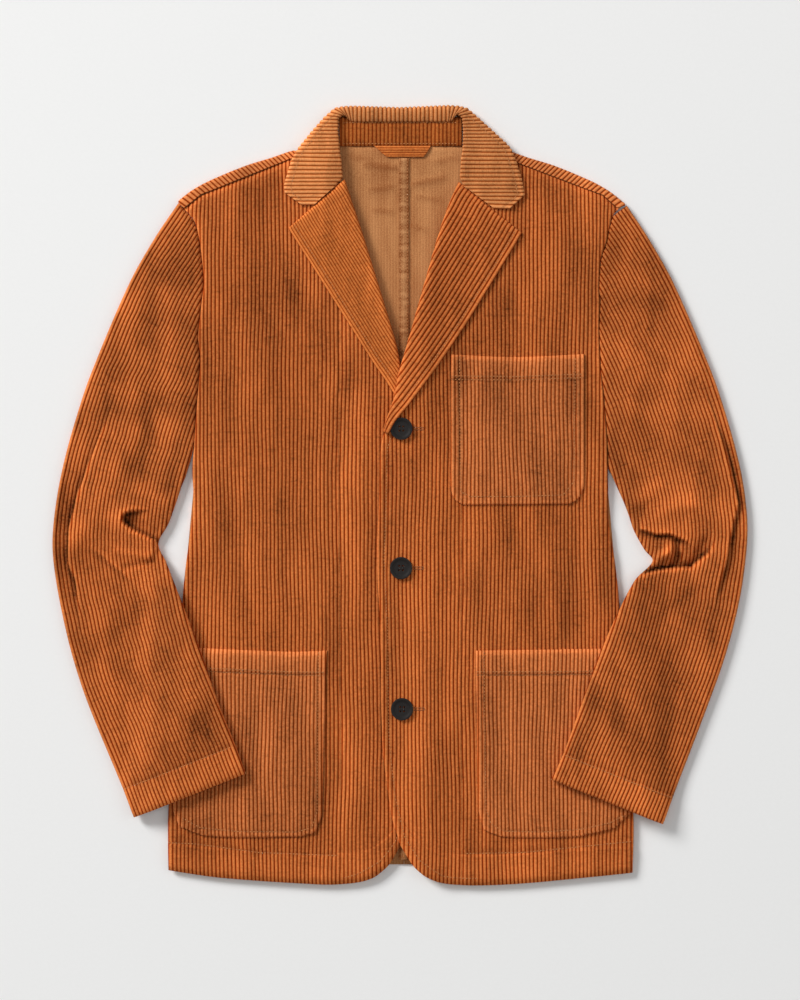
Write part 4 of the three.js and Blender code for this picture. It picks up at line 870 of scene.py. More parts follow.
def make_collar():
    count = len(COLLAR["roll_x"])
    numbered = dict(COLLAR, section=list(range(count)))
    fine = np.linspace(0, count - 1, 40 * count)
    middle_x, middle_y = ((np.interp(fine, numbered["section"], COLLAR["roll_" + axis])
                           + 2 * np.interp(fine, numbered["section"], COLLAR["edge_" + axis])) / 3 for axis in "xy")
    passed = np.concatenate([[0], np.cumsum(np.hypot(np.diff(middle_x), np.diff(middle_y)))])
    wales = round(passed[-1] / COLLAR_WALE)
    place = np.append((np.arange(wales)[:, None] + ACROSS).ravel(), wales)
    steps = np.interp(place / wales * passed[-1], passed, fine)
    rows = []
    edges = []
    for step in steps:
        values = [float(np.interp(step, numbered["section"], COLLAR[key]))
                  for key in ("roll_x", "roll_y", "edge_x", "edge_y", "width", "lead", "crest")]
        row, reach, _ = collar_section(*values)
        rows.append(row)
        edges.append(reach)
    rows = np.array(rows)
    points = rows[:, :, :3]
    d = rows[:, :, 3]
    wale = place[:, None] + 0 * d
    x, y = points[:, :, 0], points[:, :, 1]
    reach = np.array(edges)[:, None]
    numbers = np.arange(len(steps))[:, None]
    tip = np.minimum(numbers, len(steps) - 1 - numbers) * COLLAR_WALE / len(ACROSS)
    edge = np.minimum(reach - d, tip)
    sewn = np.exp(-(((reach - d - 7) / 1.3) ** 2)) * (d > 0) * ease((np.abs(x) - 60) / 10)
    pucker = 0.25 * ripple(x + y, 11, 40) * np.exp(-(((reach - d - 7) / 5) ** 2)) * ease((np.abs(x) - 60) / 10)
    above = points[:, :, 2] > 7
    points[:, :, 2] += (pucker - 0.3 * sewn - 0.8 * (1 - clamp01(tip / 1.5)) ** 2) * above
    round_edge = ease((points[:, :, 2] - 1.5) / 3)
    rim = 1 + 0.9 * np.exp(-(((reach - d) / 2.5) ** 2))
    lift = WALE_HEIGHT * wale_profile(wale) * round_edge * rim * (1 - 0.45 * sewn) * clamp01(tip / 0.9)
    # Painted light and shade: the wings lighter than the back of the collar, the wearer's right wing, towards the
    # light at the upper left, more than the left. Edges and the roll are drawn lighter, pucker crests get painted
    # light, their hollows and the sewing painted shade.
    wing_light_back_shade = ease((np.abs(x) - 62) / 12) * np.where(x < 0, 0.95, 0.7) - 0.55
    wear_and_shade = (0.9 * np.exp(-((edge / 4.5) ** 2)) + 0.4 * np.exp(-((d / 5) ** 2)) + 0.7 * pucker - 0.4 * sewn + wing_light_back_shade) * above
    return cloth("collar", points, wale, 3 * d, lift, wear_and_shade, WALL, [cord_collar, inside], ["collar"], flip=True)


collar = make_collar()


# Collar stand and hanger loop, inside the back of the neck
def make_stand():
    shape = (lambda x: STAND["low"] + 0 * x, lambda x: STAND["high"] + 0 * x,
             lambda y: STAND["left"] + 0 * y, lambda y: STAND["right"] + 0 * y)
    seams = [{"x": [-57, 0, 58], "y": [352.2, 352, 352.2]}, {"x": [-60, 0, 61], "y": [373.2, 373, 373.2]},
             {"x": [4, 4.5], "y": [352, 374]}]

    def top(x, y, share):
        swell = 0.5 * np.sin(math.pi * share) + 0.25 * ripple(x, 17, 5)
        return mix(STAND_LOW_Z, STAND_TOP_Z, share) + swell - 1.2 * ease((share - 0.84) / 0.16)

    return panel("collar_stand", shape, spaced(22.6, 1.6), top, WALL, [cord_stand, inside], ["collar_stand"],
                 pressed=seams, edge_dip=0.5, light_edge=0.3, wander=0.3, patches=0, ribs=0.45)


def make_loop():
    shape = (lambda x: LOOP["y"][0] + 0 * x, lambda x: LOOP["y"][-1] + 0 * x,
             chain(LOOP, "y", "left"), chain(LOOP, "y", "right"))
    bed = FALL_LIFT + BACK_WALL + SEAM_GAP

    def top(x, y, share):
        return bed + WALL + 0.7 * np.sin(math.pi * share) - 0.5 * np.exp(-(((y - 343) / 1.2) ** 2))

    return panel("hanger_loop", shape, spaced(11.7, 1), top, WALL, [cord_fine, inside], ["hanger_loop"],
                 edge_dip=0.4, light_edge=0.4, wander=0.3, ribs=0, patches=0, across=2.4)


collar_stand = make_stand()
hanger_loop = make_loop()


# Binding over the centre-back seam
def make_binding():
    middle = (SEAM_STRIP["left"] + SEAM_STRIP["right"]) / 2
    half = (SEAM_STRIP["right"] - SEAM_STRIP["left"]) / 2
    y = np.linspace(SEAM_STRIP["low"], SEAM_STRIP["high"], 230)[:, None]
    f = np.linspace(-1, 1, 13)[None, :]
    x = middle + half * f + 0.25 * ripple(y, 16, 8) * np.abs(f)
    bed = neck_lift(0 * y, y) + BACK_WALL + SEAM_GAP
    seam = np.exp(-(((np.abs(f) - 0.72) / 0.16) ** 2))
    z = bed + 1.3 - 0.35 * f**2 + 0.22 * ripple(y, 9, 9) * (1 - 0.5 * f**2) - 0.35 * seam
    y = y + 0 * f
    # Painted light on the strip's rises and painted shade along its two seams
    wear_and_shade = 0.4 * ripple(y, 9, 9) - 0.8 * seam
    return cloth("centre_back_seam", np.stack([x, y, z], 2), x / WALE, y, 0 * z, wear_and_shade, 1.0,
                 [binding, binding], ["centre_back_seam"])


binding_strip = make_binding()


# Soft creases of the back's inside, seen through the neck
BACK_CREASES = {
    "x1": [-34, -30, 14, 18, -52, 34, -26, 12], "y1": [331, 306, 312, 299, 340, 334, 286, 270],
    "x2": [-4, -8, 44, 40, -30, 56, -8, 26], "y2": [328, 309, 318, 296, 336, 338, 284, 266],
    "wide": [2.6, 2.4, 2.6, 2.4, 2.6, 2.6, 2.6, 2.6], "tall": [1.1, 0.8, 1.1, 0.8, 0.8, 0.8, 0.8, 0.7],
}


# Back halves. The shoulder edge turns over on a half round and ends at the front's shoulder seam.
def back_half(name, sign, side_x, shoulder):
    fold = curve(SHOULDER_FOLD, "x", "y")
    hem = curve(BACK_HEM, "x", "y")
    radius = FRONT_TOP / 2
    seam_x = sign * BACK_SEAM_X + SEAM_GAP / 2

    def outer_x(y):
        return np.abs(side_x(y)) - 0.15 - ARMHOLE_INSET * ease((y - 10) / 20)

    def turn_over(t, past, arm):
        base = t - STRAP_NORMAL["x"] * past
        angle = np.minimum(math.pi, past / radius)
        out = arm * np.sin(angle) - np.maximum(0, past - math.pi * radius)
        x = base + STRAP_NORMAL["x"] * out
        return x, fold(base) + STRAP_NORMAL["y"] * out, radius - arm * np.cos(angle), angle

    def last_past(t):
        past = math.pi * radius + 4 + 0 * t
        for _ in range(30):
            x, y, _, _ = turn_over(t, past, radius)
            past = past + (y - shoulder(sign * x) - SEAM_GAP * 2) * 0.8
        return past - 0.2 * ease((t - 194) / 14)

    coarse = np.arange(math.ceil(seam_x), STRAP_NONE - 4, 3.0)
    ribbed = (np.arange(math.ceil(STRAP_NONE / WALE), 230 // WALE)[:, None] + ACROSS).ravel() * WALE
    t_all = np.concatenate([[seam_x], coarse, ribbed, [230.0]])
    rows_x, rows_y, rows_z, rows_lift, rows_tone, rows_t = [], [], [], [], [], []
    for share in np.concatenate([np.linspace(0, 0.84, 10), np.linspace(0.85, 0.99, 34)]):
        t = t_all
        limit = outer_x(mix(hem(200.0), fold(200.0), share))
        for _ in range(30):
            limit = mix(limit, outer_x(mix(hem(limit), fold(limit), share)), 0.7)
        t = np.minimum(t, limit)
        y = mix(hem(t), fold(t), share)
        rows_x.append(t)
        rows_y.append(y)
        rows_z.append(neck_lift(t, y))
        rows_lift.append(0 * t)
        rows_tone.append(0 * t)
        rows_t.append(t)
    for turn in np.concatenate([np.linspace(0, 1, 10), np.linspace(1.15, 2, 8)]):
        def past_at(t):
            flat = np.minimum(turn, 1) * math.pi * radius
            past = flat if turn <= 1 else mix(flat, last_past(t), turn - 1)
            return past * ease((t - STRAP_NONE) / (STRAP_FULL - STRAP_NONE))
        end = np.array([220.0])
        for _ in range(60):
            x, y, _, _ = turn_over(end, past_at(end), radius)
            end = end + (outer_x(y) - x) * 0.6
        t = np.minimum(t_all, end)
        x, y, z, angle = turn_over(t, past_at(t), radius)
        rows_x.append(x)
        rows_y.append(y)
        rows_z.append(z + neck_lift(x, y))
        rows_lift.append(WALE_HEIGHT * wale_profile(t / WALE) * ease(angle / 1.3 - 1))
        # Drawn lighter where the cloth has turned over the shoulder
        rows_tone.append(0.9 * ease(angle - 1) + 0 * t)
        rows_t.append(t)
    x, y, z = np.array(rows_x), np.array(rows_y), np.array(rows_z)
    wale = np.array(rows_t) / WALE
    # Painted shade along the soft creases on the flat part of the back
    wrinkle_shade = creases(BACK_CREASES, sign * x, y) * (z < 3.5) * (np.array(rows_lift) < 0.01)
    soft = creases(BACK_CREASES, sign * x, y) * ease((z.max() - z) / 2) * ease((y - 240) / 20)
    points = np.stack([sign * x, y, z + soft * (z < 3.5)], 2)
    return cloth(name, points, wale, y, np.array(rows_lift), np.array(rows_tone) - 0.45 * wrinkle_shade, BACK_WALL,
                 [cord_light, inside], [name], flip=sign > 0)


back_right = back_half("back_right", -1, right_side, chain(RIGHT_SHOULDER, "x", "y"))
back_left = back_half("back_left", 1, left_side, chain(LEFT_SHOULDER, "x", "y"))


# Sleeves, flattened tubes that are open at the armhole and at the cuff
SLEEVE_CREASES = {
    "right_sleeve": {
        "x1": [-264, -258, -268, -300, -246, -296, -240, -230, -262, -200, -290, -180, -228, -296, -250, -262],
        "y1": [-24, -29, -37, -6, -66, 200, 90, 150, 240, -200, -150, -130, -6, -92, -62, 60],
        "x2": [-274, -271, -249, -326, -274, -330, -262, -222, -250, -216, -262, -204, -262, -262, -282, -284],
        "y2": [-25, -26, -44, -50, -72, 110, 30, 60, 160, -130, -200, -100, 4, -120, -56, 20],
        "wide": [4, 3.6, 3.4, 11, 4, 14, 12, 12, 14, 12, 13, 10, 8, 8, 4, 10],
        "tall": [-1.2, -1.6, 1.2, 2.4, -1.8, 1.4, -1.5, 1.3, -1.4, 1.4, -1.5, -1.3, 2.2, -1.6, 1.6, 1.6],
    },
    "left_sleeve": {
        "x1": [271, 268, 278, 278, 306, 260, 300, 290, 245, 233, 262, 200, 285, 190, 236, 296],
        "y1": [-52, -57, -46, -60, -46, -18, -12, 180, 90, 150, 240, -200, -140, -130, -8, -96],
        "x2": [268, 254, 278, 273, 292, 288, 322, 318, 260, 226, 250, 214, 262, 212, 256, 262],
        "y2": [-57, -65, -60, -71, -70, -8, -54, 90, 20, 60, 160, -130, -200, -95, 8, -122],
        "wide": [4.5, 4.5, 3.6, 4, 5.5, 9, 10, 14, 12, 12, 14, 12, 13, 10, 8, 8],
        "tall": [4, 3.6, -4.5, -4, -3.4, 2.8, 2.2, 1.4, -1.5, 1.3, -1.4, 1.4, -1.5, -1.3, 2.2, -1.6],
    },
}
SLEEVE_LIPS = {
    "right_sleeve": [
        {"x": [-238, -246, -253.8, -265.4, -273, -277, -278.2, -276.5, -271.5, -260.4, -246],
         "y": [-51.5, -45.5, -41.2, -35.6, -30.5, -26.5, -22.5, -18.8, -16.3, -14.8, -15],
         "tall": 5.4, "long": 13, "deep": 2.6, "short": 5, "start": 0.05, "end": 0.2},
        {"x": [-279, -293, -306, -322, -330.5, -332, -324, -321, -318],
         "y": [112, 75, 44, 2, -33, -68, -85, -117, -140],
         "tall": 1.6, "long": 22, "deep": 3.4, "short": 26, "start": 0.4, "end": 0.3},
        {"x": [-318, -296, -272, -250], "y": [-47, -62, -83, -108],
         "tall": 1.4, "long": 10, "deep": 1.2, "short": 9, "start": 0.4, "end": 0.5},
    ],
    "left_sleeve": [
        {"x": [238, 257.5, 269, 285, 298], "y": [-33, -39, -38.1, -45.2, -56],
         "tall": 3.8, "long": 15, "deep": 2.6, "short": 8, "start": 0.08, "end": 0.35},
        {"x": [316, 309.3, 291.4, 273.6, 251.3, 240], "y": [-44, -57.7, -72, -72.9, -76.5, -80],
         "tall": 4.4, "long": 15, "deep": 2.6, "short": 7, "start": 0.25, "end": 0.1},
        {"x": [314, 318.2, 325.4, 333.4, 338.8, 327.5, 311, 298], "y": [-122, -96.1, -69.3, -29.1, -8.5, 40.5, 88.5, 118],
         "tall": 1.6, "long": 22, "deep": 3.2, "short": 22, "start": 0.3, "end": 0.35},
    ],
}
# Places on the sleeves where the pile is brushed light or dark
SLEEVE_PATCHES = {
    "right_sleeve": {
        "x1": [-262, -286, -230, -214, -318, -250, -300, -226, -296, -190],
        "y1": [225, 150, 160, 110, 60, 60, -130, -110, -30, -180],
        "x2": [-306, -318, -222, -216, -338, -282, -270, -250, -262, -206],
        "y2": [110, 60, 60, 50, -60, -10, -240, -150, -10, -230],
        "wide": [10, 9, 12, 9, 7, 16, 12, 12, 12, 12],
        "tall": [1.4, -1.3, -1.3, 1, 1.3, -1, 1.3, 1.2, -1.5, -1],
    },
    "left_sleeve": {
        "x1": [262, 286, 232, 218, 330, 252, 302, 236, 300, 196],
        "y1": [225, 150, 160, 110, 60, 60, -130, -100, -20, -180],
        "x2": [306, 318, 226, 220, 344, 290, 270, 262, 262, 214],
        "y2": [110, 60, 60, 50, -50, 0, -240, -150, -4, -230],
        "wide": [10, 9, 12, 9, 7, 16, 12, 12, 12, 12],
        "tall": [-1.3, 1.1, -1.3, 0.8, 1.2, 1, -1.3, -1.4, -1.2, -1],
    },
}
CUFF_BAND = 28.5


ELBOW = {"from": 300, "to": 425}


def crossing_distance(start, aim, line):
    """How far along a direction from each start a line of points is met."""
    along = np.diff(line, axis=0)[None]
    to_line = line[None, :-1] - start[:, None]
    cross = aim[:, None, 0] * along[..., 1] - aim[:, None, 1] * along[..., 0]
    cross = np.where(np.abs(cross) < 1e-9, 1e-9, cross)
    far = (to_line[..., 0] * along[..., 1] - to_line[..., 1] * along[..., 0]) / cross
    share = (to_line[..., 0] * aim[:, None, 1] - to_line[..., 1] * aim[:, None, 0]) / cross
    met = (share >= -0.001) & (share <= 1.001) & (far > 0)
    return np.where(met, far, 1e9).min(axis=1)


def sleeve(name, table, side):
    """A flattened tube. Its wales keep their distance from the outer edge, and end at the armhole seam."""
    kept = [i for i in range(len(table["out_x"])) if i != 13]
    rows = {key: np.array(values, float)[kept] for key, values in table.items()}
    sign = np.sign(rows["out_x"][0])
    rows["out_way"] = np.concatenate([[0], np.cumsum(np.hypot(np.diff(rows["out_x"]), np.diff(rows["out_y"])))])
    rows["in_way"] = np.concatenate([[0], np.cumsum(np.hypot(np.diff(rows["in_x"]), np.diff(rows["in_y"])))])
    length = rows["out_way"][-1]
    even = np.arange(0, length, 5.8)
    s = np.unique(np.concatenate([even, np.arange(ELBOW["from"], ELBOW["to"], 2.2), [2, length],
                                  length - CUFF_BAND + np.array([-3.2, -1.6, -0.8, 0, 0.8, 1.6, 3.2])]))
    outer = [curve(rows, "out_way", key) for key in ("out_x", "out_y")]
    start = np.stack([line(s) for line in outer], 1)
    ahead = np.stack([line(s + 30) - line(s - 30) for line in outer], 1)
    ahead /= np.hypot(*ahead.T)[:, None]
    aim = sign * np.stack([ahead[:, 1], -ahead[:, 0]], 1)
    cuff = np.array([rows["in_x"][-1] - rows["out_x"][-1], rows["in_y"][-1] - rows["out_y"][-1]])
    cuff /= np.hypot(*cuff)
    near_cuff = ease((s - length + 90) / 80)[:, None]
    aim = mix(aim, cuff, near_cuff)
    aim /= np.hypot(*aim.T)[:, None]

    seam_y = np.arange(rows["out_y"][0], rows["in_y"][0], -2.0)
    seam = np.stack([side(seam_y) + sign * SEAM_GAP / 2, seam_y], 1)
    way = np.linspace(0, rows["in_way"][-1], 160)
    under_arm = np.stack([curve(rows, "in_way", key)(way) for key in ("in_x", "in_y")], 1)
    beyond = under_arm[-1] + (under_arm[-1] - under_arm[-2]) * 4
    inner = np.concatenate([seam, under_arm, beyond[None]])
    width = crossing_distance(start, aim, inner)
    width[0] = 0.2
    width = np.minimum(width, 180)[:, None]
    end_y = start[:, 1:] + aim[:, 1:] * width
    below_arm = ease((rows["in_y"][0] + 2 - end_y) / 8)

    wales = math.ceil(width.max() / SLEEVE_WALE)
    across = (np.arange(wales)[:, None] + ACROSS).ravel() * SLEEVE_WALE
    over = np.minimum(np.append(across, width.max())[None], width)
    round_under = np.array([0, 0.01, 0.02, 0.035])
    under = np.concatenate([1 - round_under, np.linspace(0.92, 0.08, 14), round_under[::-1][:-1]])[None]
    d = np.concatenate([over, under * width], 1)
    upward = np.concatenate([np.ones(over.shape[1]), -np.ones(under.shape[1])])[None]
    wander = 0.6 * ripple(s, 110, 70 + len(name)) + 0.35 * ripple(s, 41, 71)
    inner_side = width - d
    sway = wander[:, None] * ease(np.minimum(d, inner_side) / 16) * (upward > 0)
    x = start[:, :1] + aim[:, :1] * (d + sway)
    y = start[:, 1:] + aim[:, 1:] * (d + sway)
    inside_body = side(y) - x if sign > 0 else x - side(y)
    base = SLEEVE_OVER_BODY * ease((inside_body + 50) / 40) * ease((-50 - y) / 50)
    half = SLEEVE_THICK / 2
    near = np.maximum(clamp01(1 - d / SLEEVE_ROUND), clamp01(1 - inner_side / SLEEVE_ROUND) * below_arm)
    swell = half * np.sqrt(1 - near * near)
    edge = np.minimum(d, mix(60, inner_side, below_arm))
    to_seam = mix(inner_side, 200, below_arm)
    to_cuff = (length - s)[:, None]
    calm = clamp01((edge - 1.5) / 5) * (upward > 0)
    lip, pile = lips(SLEEVE_LIPS[name], x, y)
    folds = creases(SLEEVE_CREASES[name], x, y) + lip
    band = BAND_HEIGHT * ease((CUFF_BAND - to_cuff) / 1.6 + 0.5)
    sewn = np.exp(-(((to_cuff - CUFF_BAND - 1.5) / 1.3) ** 2)) + np.exp(-((to_seam / 2) ** 2))
    pucker = 0.35 * ripple(d, 12, 50 + len(name)) * np.exp(-(((to_cuff - CUFF_BAND) / 6) ** 2))
    pucker = pucker + 0.4 * ripple(y + 0 * d, 13, 52 + len(name)) * np.exp(-((to_seam / 10) ** 2))
    soft = 0.5 * ripple(s[:, None] + 0.5 * d, 83, 60 + len(name)) + 0.3 * ripple(y + 0.7 * x, 43, 61)
    z = base + half + upward * swell + (folds + band + pucker + soft - 0.6 * sewn) * calm
    end = np.minimum(to_cuff, to_seam)
    z = z - (upward > 0) * 0.9 * (1 - clamp01(end / 1.5)) ** 2
    z = np.maximum(z, np.where(upward > 0, base + WALL + 0.4, 0))
    wale = d / SLEEVE_WALE
    lift = WALE_HEIGHT * wale_profile(wale) * (upward > 0) * (1 - 0.5 * clamp01(sewn)) * clamp01(end / 0.9)
    lift = lift * clamp01(inner_side / 0.9 + 1 - below_arm)
    # Lighter at rubbed edges, at the cuff and in brushed patches; painted shade along the cuff and armhole seams
    wear_and_shade = 0.6 * np.exp(-((edge / 3) ** 2)) + 0.7 * np.exp(-((to_cuff / 3) ** 2)) - 0.3 * sewn
    wear_and_shade = wear_and_shade + 0.75 * ease((CUFF_BAND - to_cuff) / 3) + 0.16 * creases(SLEEVE_PATCHES[name], x, y)
    # Painted light on the crests of folds, lips, puckers and soft swells, painted shade in their hollows and in the
    # pockets under the lips
    wear_and_shade = wear_and_shade + 0.24 * folds + 0.9 * pile + 0.8 * pucker + 0.8 * soft
    # Painted light a little in from the outer edge, painted shade along the inner edge
    wear_and_shade = wear_and_shade + 0.35 * np.exp(-(((d - 8) / 8) ** 2)) - 0.35 * np.exp(-(((inner_side - 12) / 12) ** 2))
    points = np.stack([x, y, z + 0 * x], 2)
    join = (slice(None), [0])
    points = np.concatenate([points, points[join]], 1)
    parts = [np.concatenate([part, part[join]], 1) for part in (wale, s[:, None] + 0 * x, lift, wear_and_shade)]
    open_arm = np.zeros((len(s) - 1, points.shape[1] - 1), bool)
    open_arm[:, over.shape[1] - 1] = (below_arm[:-1, 0] < 0.5)
    return cloth(name, points, *parts, WALL, [cord, inside], [name], flip=sign < 0, leave_out=open_arm)


right_sleeve = sleeve("right_sleeve", RIGHT_SLEEVE, right_side)
left_sleeve = sleeve("left_sleeve", LEFT_SLEEVE, left_side)


# Buttons: four holes, a low rim round a dished face, and thread across the holes
def horn(name):
    """Dark corozo or horn, turned and polished to a satin face, with faint streaks."""
    material, shader, add, feed = new_material(name)
    place = add("ShaderNodeTexCoord")
    streak_at = add("ShaderNodeMapping", {"Vector": place.outputs["Object"], "Scale": (900, 160, 300)})
    streak = add("ShaderNodeTexNoise", {"Vector": streak_at.outputs[0], "Scale": 1.0, "Detail": 3.0})
    colour = add("ShaderNodeMix", {"Factor": streak.outputs[0], "A": linear("#0c0908"), "B": linear("#1d1613")},
                 data_type="RGBA")
    bump = add("ShaderNodeBump", {"Height": streak.outputs[0], "Strength": 0.15, "Distance": 0.0002})
    feed(shader, {"Base Color": colour.outputs["Result"], "Normal": bump.outputs[0], "Roughness": 0.5, "Specular IOR Level": 0.3})
    return material


def sewing_thread(name, light, dark):
    """Cotton-wrapped sewing thread, matt, dyed to the cloth."""
    material, shader, add, feed = new_material(name)
    place = add("ShaderNodeTexCoord")
    twist = add("ShaderNodeTexNoise", {"Vector": place.outputs["Object"], "Scale": 2200.0, "Detail": 1.0})
    colour = add("ShaderNodeMix", {"Factor": twist.outputs[0], "A": linear(dark), "B": linear(light)},
                 data_type="RGBA")
    feed(shader, {"Base Color": colour.outputs["Result"], "Roughness": 0.75})
    return material


button_horn = horn("dark_horn")
button_thread = sewing_thread("button_thread", "#2a211c", "#15100e")
BUTTONS = {"x": [1.4, 1.0, 2.0], "y": [66.7, -72.5, -213.4]}
BUTTON_RADIUS = 11.1
BUTTON_THICK = 2.6
HOLE_RADIUS = 1.1
HOLE_OFFSET = 1.9


def make_button(name, x, y):
    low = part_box(name)[0].z
    bpy.ops.object.select_all(action="DESELECT")
    bpy.ops.mesh.primitive_cylinder_add(vertices=48, radius=BUTTON_RADIUS * MM, depth=BUTTON_THICK * MM,
                                        location=(x * MM, y * MM, low + BUTTON_THICK * MM / 2))
    piece = bpy.context.object
    piece.name = name + "_turned"
    faces_where(piece, lambda face: face.normal.z > 0.9)
    bpy.ops.object.mode_set(mode="EDIT")
    bpy.ops.mesh.inset(thickness=2.1 * MM)
    bpy.ops.mesh.inset(thickness=0.9 * MM, depth=-0.55 * MM)
    bpy.ops.mesh.inset(thickness=2.5 * MM)
    bpy.ops.object.mode_set(mode="OBJECT")
    bpy.ops.object.transform_apply(location=True, rotation=False, scale=False)
    for i, j in ((1, 1), (1, -1), (-1, 1), (-1, -1)):
        place = ((x + i * HOLE_OFFSET) * MM, (y + j * HOLE_OFFSET) * MM, low + BUTTON_THICK * MM / 2)
        bpy.ops.mesh.primitive_cylinder_add(vertices=20, radius=HOLE_RADIUS * MM, depth=4 * BUTTON_THICK * MM,
                                            location=place)
        drill = bpy.context.object
        cut = piece.modifiers.new("hole", "BOOLEAN")
        cut.operation = "DIFFERENCE"
        cut.object = drill
        bpy.context.view_layer.objects.active = piece
        bpy.ops.object.modifier_apply(modifier="hole")
        bpy.data.objects.remove(drill)
    soften = piece.modifiers.new("soften", "BEVEL")
    soften.width = 0.35 * MM
    soften.segments = 3
    soften.limit_method = "ANGLE"
    soften.angle_limit = math.radians(40)
    bpy.ops.object.select_all(action="DESELECT")
    piece.select_set(True)
    bpy.context.view_layer.objects.active = piece
    bpy.ops.object.modifier_apply(modifier="soften")
    bpy.ops.object.shade_smooth_by_angle(angle=math.radians(50))
    piece.data.materials.append(button_horn)
    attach(piece, "root")
    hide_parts(name)
    return piece


for number, (button_x, button_y) in enumerate(zip(BUTTONS["x"], BUTTONS["y"]), 1):
    make_button(f"button_{number}", button_x, button_y)


# Sewing: each line of stitches on a piece is laid on its cloth, and all of a piece's stitches are one mesh
def height_at(piece, x, y):
    hit, place, _, _ = piece.ray_cast(Vector((x * MM, y * MM, 0.1)), Vector((0, 0, -1)))
    return place.z / MM if hit else 0.0


def small_bars(bars, half, over):
    """Points and faces of thin rounded bars, each from one point to another, in millimetres."""
    stations = np.array([0.0, 0.22, 0.78, 1.0])
    rise = np.array([-0.35, over, over, -0.35])
    points, faces = [], []
    for x1, y1, x2, y2, z in bars:
        long = math.hypot(x2 - x1, y2 - y1)
        side_x, side_y = -(y2 - y1) / long * half, (x2 - x1) / long * half
        for place, up in zip(stations, rise):
            x, y = mix(x1, x2, place), mix(y1, y2, place)
            points += [(x + side_x, y + side_y, z + up - 0.2), (x, y, z + up), (x - side_x, y - side_y, z + up - 0.2),
                       (x, y, z + up - 0.5)]
        low = len(points) - 16
        for k in range(3):
            first = low + 4 * k
            faces += [(first + j, first + 4 + j, first + 4 + (j + 1) % 4, first + (j + 1) % 4) for j in range(4)]
        faces += [(low, low + 1, low + 2, low + 3), (low + 15, low + 14, low + 13, low + 12)]
    return points, faces


def bar_piece(name, bars, half, over, material):
    points, faces = small_bars(bars, half, over)
    mesh = bpy.data.meshes.new(name)
    mesh.from_pydata([(x * MM, y * MM, max(z, 0) * MM) for x, y, z in points], [], faces)
    mesh.materials.append(material)
    piece = bpy.data.objects.new(name, mesh)
    bpy.context.collection.objects.link(piece)
    bpy.ops.object.select_all(action="DESELECT")
    bpy.context.view_layer.objects.active = piece
    piece.select_set(True)
    edit(lambda: bpy.ops.mesh.normals_make_consistent(inside=False))
    bpy.ops.object.shade_smooth()
    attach(piece, "root")
    return piece


STITCH_PITCH = 3.2
STITCH_LONG = 2.3


def sew(name, cloth_piece, lines):
    """Stitches along lines of x and y points."""
    bars = []
    for line in lines:
        xs, ys = np.array(line["x"], float), np.array(line["y"], float)
        way = np.concatenate([[0], np.cumsum(np.hypot(np.diff(xs), np.diff(ys)))])
        for start in np.arange(0.5, way[-1] - STITCH_LONG, STITCH_PITCH):
            ends = [(np.interp(w, way, xs), np.interp(w, way, ys))
                    for w in (start, start + STITCH_LONG / 2, start + STITCH_LONG)]
            z = max(height_at(cloth_piece, x, y) for x, y in ends)
            if z > 1:
                bars.append((*ends[0], *ends[2], z - 0.15))
    return bar_piece(name, bars, 0.4, 0.4, seam_thread)


def moved(line, dx, dy):
    return {"x": [x + dx for x in line["x"]], "y": [y + dy for y in line["y"]]}


def inside_edge(table, rows, by):
    """A line by millimetres inside the free edge of a lapel or the collar."""
    xs, ys = [], []
    for i in rows:
        dx = table["roll_x"][i] - table["edge_x"][i]
        dy = table["roll_y"][i] - table["edge_y"][i]
        share = by / math.hypot(dx, dy)
        xs.append(table["edge_x"][i] + dx * share)
        ys.append(table["edge_y"][i] + dy * share)
    return {"x": xs, "y": ys}


def pocket_lines(name):
    band, round_edge = POCKET_SEWING[name]
    return [band, moved(band, 0, 3.4), round_edge]


hole_thread = sewing_thread("buttonhole_thread", "#a85c2a", "#6f3313")
seam_thread = sewing_thread("cotton_thread", "#d08c54", "#b06a35")
sewing = {
    "right_front": sew("right_front_sewing", right_front, PRESSED["right_front"][:2]),
    "left_front": sew("left_front_sewing", left_front, PRESSED["left_front"][:2]),
    "chest_pocket": sew("chest_pocket_sewing", chest_pocket, pocket_lines("chest_pocket")),
    "right_pocket": sew("right_pocket_sewing", right_pocket, pocket_lines("right_pocket")),
    "left_pocket": sew("left_pocket_sewing", left_pocket, pocket_lines("left_pocket")),
    "right_lapel": sew("right_lapel_sewing", right_lapel, [inside_edge(RIGHT_LAPEL, range(2, 10), 7)]),
    "left_lapel": sew("left_lapel_sewing", left_lapel, [inside_edge(LEFT_LAPEL, range(2, 11), 7)]),
    "collar": sew("collar_sewing", collar, [inside_edge(COLLAR, range(1, 10), 7), inside_edge(COLLAR, range(17, 26), 7)]),
    "collar_stand": sew("collar_stand_sewing", collar_stand, [{"x": [-58, 59], "y": [352.2, 352.2]},
                                                              {"x": [-58, 59], "y": [373, 373]}]),
    "right_sleeve": sew("right_sleeve_sewing", right_sleeve, [{"x": [-275.5, -166.5], "y": [-293.4, -250.2]}]),
    "left_sleeve": sew("left_sleeve_sewing", left_sleeve, [{"x": [164.5, 271.5], "y": [-259, -302]}]),
    "centre_back_seam": sew("centre_back_sewing", binding_strip, [{"x": [0.4, 0.4], "y": [60, 336]},
                                                                  {"x": [7.4, 7.4], "y": [60, 336]}]),
}


def make_buttonhole(name, x, y):
    """A slit with close stitches on both sides and a bar at its end."""
    z = max(height_at(left_front, x + step, y) for step in (2, 4, 6, 8))
    bars = []
    for step in np.arange(0, 9.9, 0.75):
        for turned in (1, -1):
            bars.append((x + step, y + 0.35 * turned, x + step, y + 1.9 * turned, z))
    bars.append((x + 10.3, y - 1.6, x + 10.3, y + 1.6, z))
    return bar_piece(name, bars, 0.34, 0.2, hole_thread)


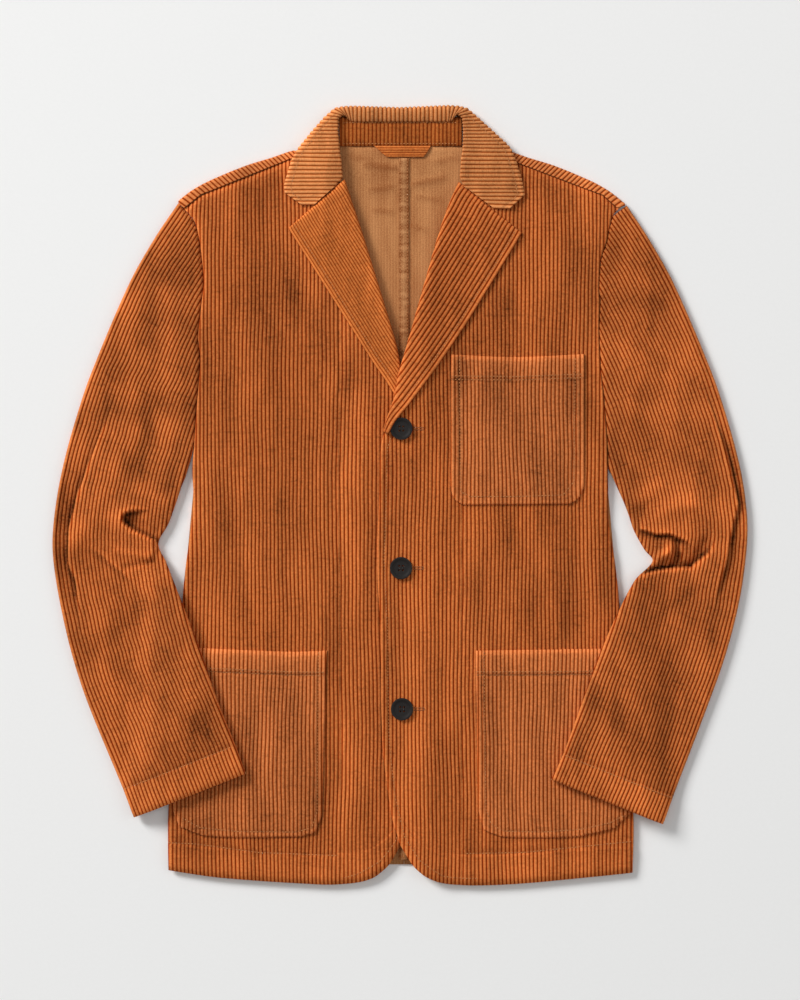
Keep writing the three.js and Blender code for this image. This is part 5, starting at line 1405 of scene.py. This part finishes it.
buttonholes = [make_buttonhole(f"buttonhole_{number}", x + 12, y)
               for number, (x, y) in enumerate(zip(BUTTONS["x"], BUTTONS["y"]), 1)]
for number, (x, y) in enumerate(zip(BUTTONS["x"], BUTTONS["y"]), 1):
    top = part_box(f"button_{number}")[0].z / MM + BUTTON_THICK - 0.55
    crossings = [(x + i * HOLE_OFFSET, y - HOLE_OFFSET, x + i * HOLE_OFFSET, y + HOLE_OFFSET, top) for i in (-1, 1)]
    tie = bar_piece(f"button_{number}_thread", crossings, 0.45, 0.35, button_thread)


# The scene round the jacket: a pale floor, soft light from all round and one broad light from the upper left
def paper(name):
    """Matt white paper of a studio sweep."""
    material, shader, add, feed = new_material(name)
    place = add("ShaderNodeTexCoord")
    grain = add("ShaderNodeTexNoise", {"Vector": place.outputs["Object"], "Scale": 300.0, "Detail": 3.0})
    colour = add("ShaderNodeMix", {"Factor": grain.outputs[0], "A": linear("#f1f1f0"), "B": linear("#f4f4f3")},
                 data_type="RGBA")
    feed(shader, {"Base Color": colour.outputs["Result"], "Roughness": 0.95})
    return material


bpy.ops.object.select_all(action="DESELECT")
bpy.ops.mesh.primitive_plane_add(size=12, location=(0, 0, -0.0002))
floor = bpy.context.object
floor.name = "floor"
bpy.ops.object.transform_apply(location=True, rotation=False, scale=False)
floor.data.materials.append(paper("studio_paper"))


def area_light(name, place, aim, size, power, colour=(1, 1, 1)):
    data = bpy.data.lights.new(name, "AREA")
    data.shape = "SQUARE"
    data.size = size
    data.energy = power
    data.color = colour
    lamp = bpy.data.objects.new(name, data)
    bpy.context.collection.objects.link(lamp)
    lamp.location = place
    lamp.rotation_euler = (Vector(aim) - Vector(place)).to_track_quat("-Z", "Y").to_euler()


area_light("upper_left_window", (-6.6, 5.4, 4.9), (0, 0, 0), 3.4, 980)
area_light("right_fill", (5, 0.8, 4), (0, 0, 0), 3.2, 36)
area_light("overhead", (0, 0, 7.2), (0, 0, 0), 4.8, 60)
world = bpy.data.worlds.new("studio")
world.use_nodes = True
world.node_tree.nodes["Background"].inputs["Color"].default_value = (1, 1, 1, 1)
world.node_tree.nodes["Background"].inputs["Strength"].default_value = 0.28
bpy.context.scene.world = world
bpy.context.scene.view_settings.view_transform = "Standard"

# The photograph's frame is 1000 mm high at the jacket, seen straight from above with a long lens.
FRAME_HIGH = 1.0
CAMERA_UP = 3.0
SENSOR = 36
lens = bpy.data.cameras.new("overhead")
lens.sensor_fit = "VERTICAL"
lens.sensor_height = SENSOR
lens.lens = SENSOR * CAMERA_UP / FRAME_HIGH
lens.clip_end = 30
camera = bpy.data.objects.new("overhead_camera", lens)
bpy.context.collection.objects.link(camera)
camera.location = (0, -0.0045, CAMERA_UP + 0.008)
bpy.context.scene.camera = camera
